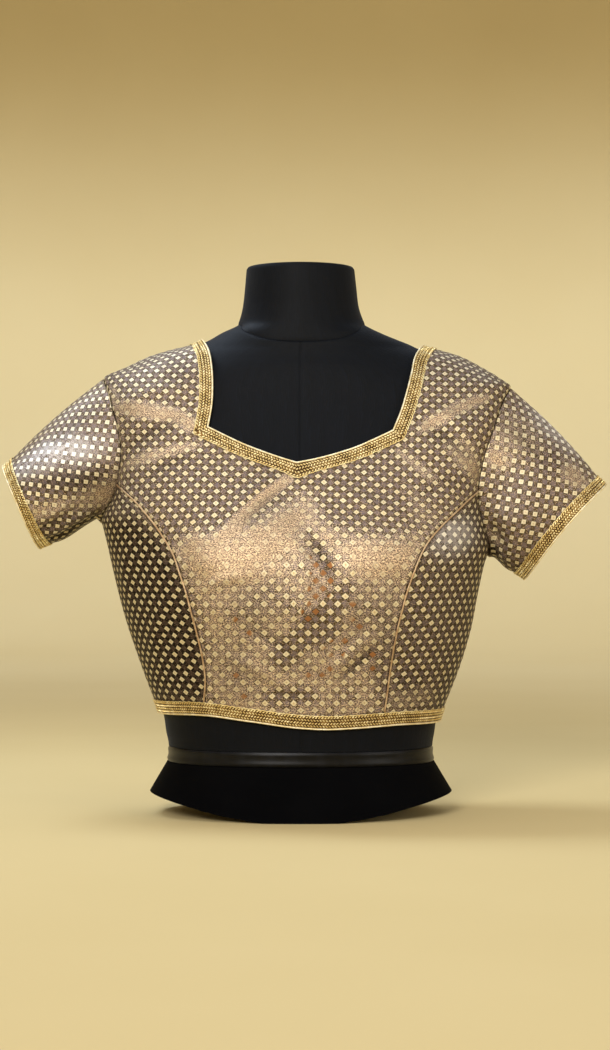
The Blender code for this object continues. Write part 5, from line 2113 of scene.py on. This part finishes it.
@dataclass
class Blouse:
    """The choli: front, side panels, backs, placket, sleeves, piping and gold braid."""

    fineness: int = 6
    sleeve_fineness: int = 4
    sleeve_rows: int = 40
    weave: WeaveMap = field(default_factory=lambda: WeaveMap(CHOLI))

    def __post_init__(self) -> None:
        """Lays out the panels' spots and the seams between them."""
        self.fronts, self.backs = ({side: self.half(side, face) for side in Side} for face in (FRONT, BACK))
        self.flanks = {side: refined_panel(side_panel(side), self.fineness, (1,)) for side in Side}
        lines = []
        for side in Side:
            hole = np.array([armhole_spot(side, angle) for angle in np.linspace(0, 360, 91)])
            ridge = self.fronts[side][-1, self.fineness * CORNER_COLUMN :: 3]
            runs = (self.flanks[side][::3, 0], self.flanks[side][::3, -1], hole, ridge)
            lines += [CHOLI.point(run) for run in runs]
        self.seams = SeamRelief(lines)

    def half(self, side: Side, face: Face) -> Array:
        """The finer spots of half the front's middle panel, or of one back.

        Args:
            side: The side.
            face: The front or back.

        Returns:
            The spots.
        """
        rows = (1, JUNCTION_ROW, face.neck_row - 1, face.neck_row)
        columns = (1, CORNER_COLUMN, BRAID_COLUMN)[0 if face.is_back else 1 :]
        return refined_panel(body_half(side, face), self.fineness, rows, columns)

    def panel(
        self, spots: Array, side: Side, marks: Marks, shade: float = 0.0, tilt: float = 0.0, lean: float = 0.0,
        slant: float = 0.0,
    ) -> Grid:
        """A panel's sheet with its folds, its weave places and its painted highlight and painted shade.

        Args:
            spots: The panel's spots.
            side: The side.
            marks: Where it takes painted highlight and painted shade.
            shade: How much painted shade darkens its ground, from 0 to 1.
            tilt: How steeply the weave's rows fall to the right of the chest.
            lean: How far the weave's upright lines lean outwards up the chest.
            slant: How far they lean outwards over the whole panel.

        Returns:
            The sheet, with its columns running from left to right.
        """
        turn, height = spots[..., 0], spots[..., 1]
        with np.errstate(invalid="ignore"):
            points, normals = CHOLI.point(spots), CHOLI.normal(spots)
            lift = 1.25 * fold_lift(points)
            hollow = np.clip(-lift / 2.0, 0.0, 1.0)
            seam, dark, shine = self.seams.at(points)
            points = points + normals * (lift + seam)[..., None]
            is_back = bool(np.nanmax(np.abs(turn)) > 120)
            u, v = self.weave.at(spots, is_back)
            ahead = np.abs(turn) <= 90
            high = eased(np.clip((height - 232.0) / 60.0, 0.0, 1.0)) * ahead
            climb = 30.0 * np.logaddexp(0.0, (v - 190.0) / 30.0)
            u, v = u - lean * climb, v + tilt * np.maximum(u - 10.0, 0.0) * high
            u = u - slant * side * (v - 190.0)
            copper_highlight, silver_highlight, deep_shade, rust = marks.at(points)
            # Painted copper highlight on the pressed seam folds, less of it in the fold troughs
            copper_highlight = np.maximum(copper_highlight, 0.5 * shine) * (1 - 0.5 * hollow)
            # Painted silver highlight on the shoulder tops
            silver_highlight = np.maximum(silver_highlight, 0.3 * bell(height - 425.0, 22.0))
            # Painted shade towards the sides, in the seam ditches and in the fold troughs
            turned = np.clip((np.abs(np.abs(turn) - 90.0) - 20.0) / 30.0, 0.0, 1.0)
            tone = np.maximum(deep_shade, shade + (1 - turned) * 0.35 * ahead)
            tone = np.maximum(np.maximum(tone, dark), 0.6 * hollow)
        weave = np.stack((u, v, rust), -1)
        cast = np.stack((copper_highlight * (1 - dark), silver_highlight, tone), -1)
        grid = Grid(points, normals, weave, cast)
        return grid.reversed_columns() if (side == Side.LEFT) != is_back else grid

    def front(self) -> Grid:
        """The front's middle panel, in one piece from seam to seam."""
        left, right = (self.panel(self.fronts[side], side, MIDDLE_MARKS, tilt=0.09, lean=0.05) for side in Side)
        return drawn_in(left.beside(right))

    def flank(self, side: Side) -> Grid:
        """A front side panel.

        Args:
            side: The side.

        Returns:
            The sheet.
        """
        grid = self.panel(self.flanks[side], side, FLANK_MARKS, 0.4, slant=0.26)
        grid.weave[..., 1] *= 1.09
        return drawn_in(grid)

    def back(self, side: Side) -> Grid:
        """One back's sheet."""
        return drawn_in(self.panel(self.backs[side], side, BACK_MARKS, 0.1))

    def placket(self) -> list[Grid]:
        """The hook placket's two laps, down the centre back.

        Returns:
            The two sheets.
        """
        laps = []
        low, wide = self.fineness, self.fineness + 1
        for side in Side:
            spots = self.backs[side][low : (BACK.neck_row - 1) * low + 1, :wide]
            grid = self.panel(spots, side, BACK_MARKS, 0.1)
            grid.points = grid.points + grid.normals * GAP
            laps.append(drawn_in(grid, has_top=False))
        return laps

    def sleeve(self, side: Side) -> Grid:
        """A sleeve, from the armhole to the cuff.

        Args:
            side: The side.

        Returns:
            The sheet, whose columns go round and join up.
        """
        cut, f = SLEEVES[side], self.sleeve_fineness
        coarse = armhole_angles(side, FRONT)[::-1] + underarm_angles(side)[1:]
        coarse += armhole_angles(side, BACK)[1:-1] + [360.0]
        angles = np.interp(np.arange((len(coarse) - 1) * f + 1) / f, np.arange(len(coarse)), coarse)
        angle = angles[:-1]
        hole = np.array([armhole_spot(side, turn) for turn in angle])
        rim, normals = CHOLI.point(hole), CHOLI.normal(hole)
        heart = (rim[0] + rim[len(rim) // 2]) / 2

        # The cuff's edge, the sewn root beside the armhole and the braid's inner line
        top, bottom = (np.array((x, 0.0, z)) for x, z in (cut.cuff_top, cut.cuff_bottom))
        middle, up = (top + bottom) / 2, (top - bottom) / 2
        axis = unit(np.array((up[2], 0.0, -up[0]))) * side
        ahead = np.sin(np.radians(angle))
        depth = ahead[:, None] * (0.0, -1.0, 0.0)
        cuff = middle + up * np.cos(np.radians(angle))[:, None] + depth * cut.depth / 2
        cuff = cuff + axis * (cut.bow * np.maximum(ahead, 0.0) ** 2)[:, None]
        run = unit(np.roll(rim, -1, 0) - np.roll(rim, 1, 0))
        way, inwards = unit(cuff - rim), np.cross(normals, run) * side
        skin = np.cross(run, way) * side
        tucked = GAP + CLOTH * np.maximum(0.0, (skin * inwards).sum(1))
        lifted = GAP * np.clip(-3 * (way * inwards).sum(1), 0.0, 1.0)
        root = rim + inwards * tucked[:, None] + normals * lifted[:, None]
        back = unit(root - cuff) * CUFF_BRAID_WIDTH + depth * cut.lean
        braid = cuff + unit(back) * CUFF_BRAID_WIDTH

        # Rows down the sleeve with its folds, then under the braid
        rows = []
        parts = np.linspace(0, 1, self.sleeve_rows + 1) ** 1.08
        wave = np.sin(angle * 0.42 + 2.0 * np.sin(angle * 0.05))
        for part in parts:
            point = root + (braid - root) * part
            size = cut.ease * 4 * part * (1 - part)
            size = size - sum(fold.at(angle, np.full_like(angle, part)) for fold in cut.folds + cut.creases)
            near = np.linalg.norm(point - root, axis=1)
            if part > 0:
                size = size + 0.5 * bell(near - 3.2, 1.4) + 0.28 * wave * bell(near - 7.0, 5.0)
            outward = unit(point - (heart + (middle - heart) * part))
            rows.append(point + outward * size[:, None])
        rows += [braid + (cuff - braid) * part for part in np.linspace(0, 1, CUFF_ROWS + 1)[1:]]
        points, every = np.array(rows), np.concatenate((parts, np.ones(CUFF_ROWS)))
        out = np.cross(np.roll(points, -1, 1) - np.roll(points, 1, 1), np.gradient(points, axis=0))
        centre = heart + (middle - heart) * every[:, None]
        out = unit(out * np.sign(((points - centre[:, None]) * out).sum(-1, keepdims=True)))
        points, out = (np.concatenate((layer, layer[:, :1]), 1) for layer in (points, out))

        # Painted copper and silver highlights and painted shade from the sleeve's marks, with painted highlight on
        # crease ridges and painted shade in crease troughs
        ring, length = np.meshgrid(angles, every)
        copper_highlight, silver_highlight, under, relief = (
            sum(mark.at(ring, length) for mark in marks)
            for marks in (cut.copper_highlight, cut.silver_highlight, cut.shadow, cut.creases)
        )
        silver_highlight = silver_highlight + 0.12 * np.maximum(-relief, 0.0)
        under = np.clip(under, 0.0, 0.95) + 0.3 * np.maximum(relief, 0.0)
        cast = np.clip(np.stack((copper_highlight, silver_highlight, under), -1), 0.0, 1.0)
        weave = self.sleeve_weave(points, angles, heart, middle, cut)
        grid = Grid(points, out, weave, cast, wraps=True)
        return grid if side == Side.RIGHT else grid.reversed_columns()

    def sleeve_weave(self, points: Array, angles: Array, heart: Array, middle: Array, cut: SleeveCut) -> Array:
        """The flat places of a sleeve's points, unrolled along its length.

        Args:
            points: The sleeve's points by row and column.
            angles: The angle of each column.
            heart: The middle of the armhole.
            middle: The middle of the cuff.
            cut: The sleeve's cut.

        Returns:
            The flat places.
        """
        axis = unit(middle - heart)
        along = (points - heart) @ axis
        flat = points - heart - along[..., None] * axis
        front = int(np.argmin(np.abs(angles - 90.0)))
        around = np.array([lengths_along(row) for row in flat])
        down = np.array((axis[2], 0.0, -axis[0]))
        down = down if down[2] < 0 else -down
        drift = (flat[:, front] - flat[0, front]) @ down
        u, v = around - around[:, [front]] + drift[:, None], along
        cos, sin = (cut.tight * part(math.radians(cut.grain)) for part in (math.cos, math.sin))
        return np.stack((u * cos - v * sin, v * cos + u * sin, np.zeros_like(u)), -1)

    def ribbon(self, *edges: Array) -> Ribbon:
        """The strip between two lines of spots, just off the cloth and over its folds.

        Args:
            edges: Its inner and its outer line.

        Returns:
            The strip.
        """
        normals = [CHOLI.normal(spots) for spots in edges]
        points = [CHOLI.point(spots, GAP) for spots in edges]
        inner, outer = (p + n * fold_lift(p)[:, None] for p, n in zip(points, normals))
        return Ribbon(inner, outer, (normals[0] + normals[1]) / 2)

    def neck_ribbon(self) -> Ribbon:
        """The strip under the neck's braid, from the centre back all the way round.

        Returns:
            The strip.
        """
        f = self.fineness
        corner, braid = CORNER_COLUMN * f, BRAID_COLUMN * f
        left, right = ((self.fronts[side], self.backs[side]) for side in Side)
        inner, outer = [], []
        for spots, face, way in ((left[1], BACK, 1), (left[0], FRONT, -1), (right[0], FRONT, 1), (right[1], BACK, -1)):
            neck = face.neck_row * f
            edge = (spots[neck, : corner + 1], spots[[neck], corner], spots[neck:, corner])
            line = (spots[neck - f, : corner + 1], spots[[neck - f], braid], spots[neck:, braid])
            inner.append(np.concatenate(edge)[::way])
            outer.append(np.concatenate(line)[::way])
        return self.ribbon(np.concatenate(inner), np.concatenate(outer))

    def hem_ribbon(self) -> Ribbon:
        """The strip under the hem's braid, from the centre back all the way round.

        Returns:
            The strip.
        """
        left, right = ((self.fronts[side], self.flanks[side], self.backs[side]) for side in Side)
        runs = (*zip(left[::-1], (1, -1, -1)), *zip(right, (1, 1, -1)))
        edges = (np.concatenate([spots[row, ::way] for spots, way in runs]) for row in (0, self.fineness))
        return self.ribbon(*edges)

    def cuff_ribbon(self, grid: Grid) -> Ribbon:
        """The strip under the braid of a sleeve's cuff.

        Args:
            grid: The sleeve.

        Returns:
            The strip.
        """
        inner = -1 - CUFF_ROWS
        normals = (grid.normals[-1] + grid.normals[inner]) / 2
        lift = normals * CUFF_BRAID_LIFT
        return Ribbon(grid.points[-1] + lift, grid.points[inner] + lift, normals)

    def piping(self, side: Side, material: Material) -> Piece:
        """The cord laid along a princess seam.

        Args:
            side: The side.
            material: Its finish.

        Returns:
            The piece.
        """
        path = CHOLI.point(self.flanks[side][self.fineness :, 0], GAP + 0.3)
        lengths = lengths_along(path)
        s = np.arange(1.2, lengths[-1] - 3.0, 1.4)
        path = np.stack([np.interp(s, lengths, column) for column in path.T], 1)
        points, quads, weave = tube(path, 0.85)
        parts = MeshParts()
        parts.add(points, quads, weave=weave)
        for end, way in ((0, -1), (len(path) - 1, 1)):
            ring = np.arange(CORD_SIDES) + end * CORD_SIDES
            cap = np.stack((np.full(CORD_SIDES - 2, ring[0]), ring[1:-1], ring[2:]), 1)
            parts.cover(cap[:, ::way])
        return parts.build(f"piping_{side.word}", [material], 60)


@dataclass
class DressForm:
    """The limbless form: jersey torso and neck, satin waist band and flared black base."""

    stations: int = 144
    band_bottom: float = 48.0
    band_top: float = 61.5
    neck_side: float = 447.5
    neck_front: float = 428.3
    neck_back: float = 451.5
    neck_top: float = 500.0
    base_half_width: float = 150.5
    base_half_depth: float = 100.0
    base_square: float = 2.2
    sole_cuts: tuple[Pair, ...] = ((34.0, 0.16), (75.0, 0.06))

    def __post_init__(self) -> None:
        """Lays out the turns of every ring, closer together at the centre seams."""
        turns = np.arange(self.stations) * 360.0 / self.stations
        close = np.array((0.25, 0.5, 0.85, 1.4))
        turns = np.sort(np.concatenate((turns, close, 360 - close, 180 - close, 180 + close)))
        self.turns = np.where(turns > 180, turns - 360, turns)

    def neck_seam(self) -> Array:
        """The height of the neck's seam at each turn.

        Returns:
            The heights.
        """
        ahead = np.cos(np.radians(self.turns))
        front = self.neck_side + (self.neck_front - self.neck_side) * np.maximum(ahead, 0.0) ** 2.5
        back = self.neck_side + (self.neck_back - self.neck_side) * np.maximum(-ahead, 0.0)
        return np.where(ahead > 0, front, back)

    def rings(self, heights: Sequence[Values], out: Sequence[float]) -> Array:
        """Rings of points of the form.

        Args:
            heights: The height of each ring, level or by turn.
            out: How far each ring stands out.

        Returns:
            Points by ring and turn.
        """
        rings = []
        for height, move in zip(heights, out):
            spots = np.stack((self.turns, np.broadcast_to(height, self.turns.shape)), -1)
            rings.append(FORM.point(spots, move))
        return np.array(rings)

    def solid(self, name: str, rings: Array, material: Material) -> Piece:
        """A closed solid through rings, lowest first.

        Args:
            name: Its name.
            rings: Points by ring and turn.
            material: Its finish.

        Returns:
            The piece.
        """
        count, around = rings.shape[:2]
        number = np.arange(count * around).reshape(count, around)
        after = np.roll(number, -1, 1)
        quads = np.stack((number[:-1], after[:-1], after[1:], number[1:]), -1).reshape(-1, 4)
        belt = np.concatenate((rings[count // 2], rings[count // 2, :1]))
        girth = np.linalg.norm(np.diff(belt, axis=0), axis=1)
        across = np.concatenate(([0.0], np.cumsum(girth)[:-1]))
        across = np.where(across > girth.sum() / 2, across - girth.sum(), across)
        rise = np.linalg.norm(np.diff(rings, axis=0), axis=-1).mean(1)
        weave = np.zeros_like(rings)
        weave[..., 0], weave[..., 1] = across, np.concatenate(([0.0], np.cumsum(rise)))[:, None]
        parts = MeshParts()
        parts.add(rings.reshape(-1, 3), quads, weave=weave.reshape(-1, 3))
        first, second = number[0], after[0]
        for row, way in ((0, -1), (-1, 1)):
            centre = rings[row].mean(0)
            inner = centre + (rings[row] - centre) * 0.5
            points = np.concatenate((rings[row], inner, centre[None]))
            ring = np.stack((first, second, second + around, first + around), 1)
            fan = np.stack((first + around, second + around, np.full(around, 2 * around)), 1)
            parts.add(points, ring[:, ::way], weave=points * (1, 1, 0))
            parts.cover(fan[:, ::way])
        return parts.build(name, [material], 50)

    def torso(self, material: Material) -> Piece:
        """The jersey torso up to the neck's seam, with a ditch down its centre seams.

        Args:
            material: Its finish.

        Returns:
            The piece.
        """
        seam = self.neck_seam() - GAP / 2
        low = list(np.linspace(self.band_top + GAP, SHOULDER_START, 90))
        high = [SHOULDER_START + (seam - SHOULDER_START) * part for part in np.linspace(0, 1, 34)[1:]]
        rings = self.rings(low + high, [0.0] * (len(low + high) - 2) + [-0.25, -0.9])
        away = np.minimum(np.abs(self.turns), 180 - np.abs(self.turns))
        rings[..., 1] -= np.sign(rings[..., 1]) * 0.55 * bell(away, 0.45)
        return self.solid("torso", rings, material)

    def neck(self, material: Material) -> Piece:
        """The neck, from its seam to its flat top.

        Args:
            material: Its finish.

        Returns:
            The piece.
        """
        seam = self.neck_seam() + GAP / 2
        heights = [seam + (self.neck_top - seam) * part for part in np.linspace(0, 1, 34)]
        out = [-0.9, -0.2] + [0.0] * (len(heights) - 4) + [-0.15, -1.2]
        return self.solid("neck", self.rings(heights, out), material)

    def band(self, material: Material) -> Piece:
        """The satin band round the waist, with softly rolled edges.

        Args:
            material: Its finish.

        Returns:
            The piece.
        """
        heights = np.linspace(self.band_bottom, self.band_top, 13)
        out = (-0.6, 0.3, 0.7, 0.7, 0.6, 0.5, 0.5, 0.5, 0.6, 0.7, 0.7, 0.3, -0.6)
        return self.solid("waist_band", self.rings(heights, out), material)

    def base(self, material: Material) -> Piece:
        """The flared base, with its sole sloping up to each side.

        Args:
            material: Its finish.

        Returns:
            The piece.
        """
        across, ahead = np.sin(np.radians(self.turns)), np.cos(np.radians(self.turns))
        power = self.base_square
        spread = (np.abs(across) ** power + np.abs(ahead) ** power) ** (-1 / power)
        foot = np.stack((self.base_half_width * across * spread, -self.base_half_depth * ahead * spread, 0 * across), 1)
        top = self.rings([self.band_bottom], [0.0])[0] - (0, 0, GAP)
        lift = self.sole(foot[:, 0])
        levels = lift + (top[:, 2] - lift) * np.linspace(0, 1, 22)[:, None]
        rings = foot + (top - foot) * (levels / top[:, 2])[..., None]
        rings[..., 2] = levels
        for _ in range(4):
            share = self.sole(rings[0, :, 0]) / top[:, 2]
            rings[0] = foot + (top - foot) * share[:, None]
        return self.solid("base", rings, material)

    def sole(self, across: Array) -> Array:
        """How high the sole is this far across."""
        return sum(steeper * np.maximum(np.abs(across) - start, 0.0) for start, steeper in self.sole_cuts)


@dataclass
class Studio:
    """The pale floor and backdrop, the soft lights and the camera."""

    camera_place: tuple[float, float, float] = (0.0037, -2.2, 0.2413)
    camera_aim: tuple[float, float, float] = (0.0037, 0.0, 0.2634)
    lens: float = 82.0

    def sweep(self, material: Material) -> None:
        """The round floor, which curves up into the backdrop on every side.

        Args:
            material: Its finish.
        """
        bends = np.linspace(0.0, math.pi / 2, 21)
        reach = np.concatenate(([0.3, 1.5, 2.4], 3.2 + 1.6 * np.sin(bends), [4.8]))
        rise = np.concatenate((np.zeros(3), 1.6 - 1.6 * np.cos(bends), [3.6]))
        sides = 96
        turns = np.arange(sides) / sides * FULL_TURN
        ring = np.stack((np.cos(turns), np.sin(turns), np.ones(sides)), 1)
        points = ring * np.stack((reach, reach, rise), 1)[:, None]
        number = np.arange(reach.size * sides).reshape(-1, sides)
        after = np.roll(number, -1, 1)
        quads = np.stack((number[:-1], number[1:], after[1:], after[:-1]), -1).reshape(-1, 4)[:, ::-1]
        parts = MeshParts()
        parts.add(points.reshape(-1, 3) / MM, quads)
        parts.cover(number[:1])
        parts.build("sweep", [material], 60)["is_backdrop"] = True

    def lamp(self, name: str, place: Sequence[float], aim: float, size: float, power: float, colour: Colour) -> None:
        """A soft square light that faces the blouse.

        Args:
            name: Its name.
            place: Where it hangs, in metres.
            aim: The height over the blouse's middle that it faces.
            size: Its width in metres.
            power: Its watts.
            colour: Its colour.
        """
        data = bpy.data.lights.new(name, "AREA")
        data.size, data.energy, data.color = size, power, colour
        data.spread = math.radians(130.0)
        lamp = bpy.data.objects.new(name, data)
        lamp.location = place
        lamp.rotation_euler = (Vector((0.0, 0.0, aim)) - Vector(place)).to_track_quat("-Z", "Y").to_euler()
        lamp.visible_camera = False
        bpy.context.scene.collection.objects.link(lamp)

    def light(self) -> None:
        """The world and the lights."""
        world = bpy.data.worlds.new("Soft room")
        bpy.context.scene.world = world
        world.use_nodes = True
        background = world.node_tree.nodes["Background"]
        background.inputs["Color"].default_value = (*srgb(228, 232, 238), 1.0)
        background.inputs["Strength"].default_value = 0.85
        self.lamp("Key", (-0.9, -3.9, 1.8), 2.3, 1.3, 105.0, (1.0, 0.98, 0.96))
        self.lamp("Fill", (3.0, -2.6, 1.1), 0.9, 2.0, 24.0, (1.0, 0.98, 0.96))
        self.lamp("Top", (-0.7, 0.35, 1.5), 0.26, 0.5, 7.4, (0.72, 0.84, 1.0))

    def film(self) -> None:
        """The camera."""
        data = bpy.data.cameras.new("Camera")
        data.lens, data.sensor_width, data.sensor_fit = self.lens, 36.0, "AUTO"
        camera = bpy.data.objects.new("Camera", data)
        camera.location = self.camera_place
        aim = Vector(self.camera_aim) - Vector(self.camera_place)
        camera.rotation_euler = aim.to_track_quat("-Z", "Y").to_euler()
        bpy.context.scene.collection.objects.link(camera)
        bpy.context.scene.camera = camera
        bpy.context.scene.view_settings.view_transform = "Standard"


def place(piece: Piece, slot: str, node: str) -> Piece:
    """Puts a piece on the body in its solid's stead.

    Args:
        piece: The piece.
        slot: The finish's slot; not used.
        node: The solid that it stands for.

    Returns:
        The piece.
    """
    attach(piece, "root")
    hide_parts(node)
    LOG.info("%s: %d faces", piece.name, len(piece.data.polygons))
    return piece


def cloth(name: str, node: str, grids: Sequence[Grid], finish: Material, wall: float = -CLOTH) -> Piece:
    """Makes a cloth piece and puts it on the body.

    Args:
        name: Its name.
        node: The solid that it stands for.
        grids: Its sheets.
        finish: Its finish.
        wall: Its thickness, outwards if positive and inwards if negative.

    Returns:
        The piece.
    """
    parts = MeshParts()
    for grid in grids:
        add_shell(parts, grid, wall)
    return place(parts.build(name, [finish], 40), "brocade", node)


def main() -> None:
    """Builds the form, the blouse and the studio, and gathers the sizes of the solids and of the built pieces."""
    logging.basicConfig(level=logging.INFO, format="%(name)s %(message)s")
    silk = Brocade().build()
    threads = (
        # The braid net's dark brown is its own colour and also painted shade in the gaps between the stitches
        Gilt("Braid net", srgb(84, 60, 28), srgb(40, 28, 12), srgb(150, 118, 64), roughness=0.5).build(),
        Gilt("Gold braid", srgb(226, 200, 134), srgb(164, 128, 66), srgb(252, 240, 190)).build(),
        Gilt("Edge cord", srgb(236, 218, 168), srgb(196, 164, 108), srgb(252, 242, 210), roughness=0.42).build(),
    )
    pipe = Gilt("Piping cord", srgb(186, 154, 116), srgb(122, 88, 60), srgb(214, 188, 152), roughness=0.45).build()
    jersey, satin, black = Jersey().build(), Satin().build(), MattBlack().build()

    form = DressForm()
    place(form.torso(jersey), "jersey", "form_torso")
    place(form.neck(jersey), "jersey", "form_neck")
    place(form.band(satin), "satin", "form_waist_band")
    place(form.base(black), "base_black", "form_base")

    blouse = Blouse()
    front = cloth("front", "front_centre", [blouse.front()], silk)
    flanks, backs, sleeves, cuffs, cords = {}, {}, {}, {}, {}
    for side in Side:
        word = side.word
        flanks[side] = cloth(f"side_panel_{word}", f"front_side_{word}", [blouse.flank(side)], silk)
        backs[side] = cloth(f"back_panel_{word}", f"back_{word}", [blouse.back(side)], silk)
        sheet = blouse.sleeve(side)
        sleeves[side] = cloth(f"sleeve_{word}_cloth", f"sleeve_{word}", [sheet], silk)
        trim = BraidTrim(f"cuff_braid_{word}").build(blouse.cuff_ribbon(sheet), threads)
        cuffs[side] = place(trim, "braid", f"cuff_trim_{word}")
        cords[side] = place(blouse.piping(side, pipe), "cord", f"princess_piping_{word}")
    lap = cloth("placket", "back_placket", blouse.placket(), silk, CLOTH)
    neck = place(BraidTrim("neck_braid").build(blouse.neck_ribbon(), threads), "braid", "neck_trim")
    hem = place(BraidTrim("hem_braid").build(blouse.hem_ribbon(), threads), "braid", "hem_trim")

    studio = Studio()
    studio.sweep(PaleWall().build())
    studio.light()
    studio.film()

    boxes = {"cad": CAD_BOUNDS, "visual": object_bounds()}
    sizes = {name: [[float(x) for x in corner] for corner in box] for name, box in boxes.items()}
    LOG.info("sizes kept")


if __name__ == "__main__":
    main()
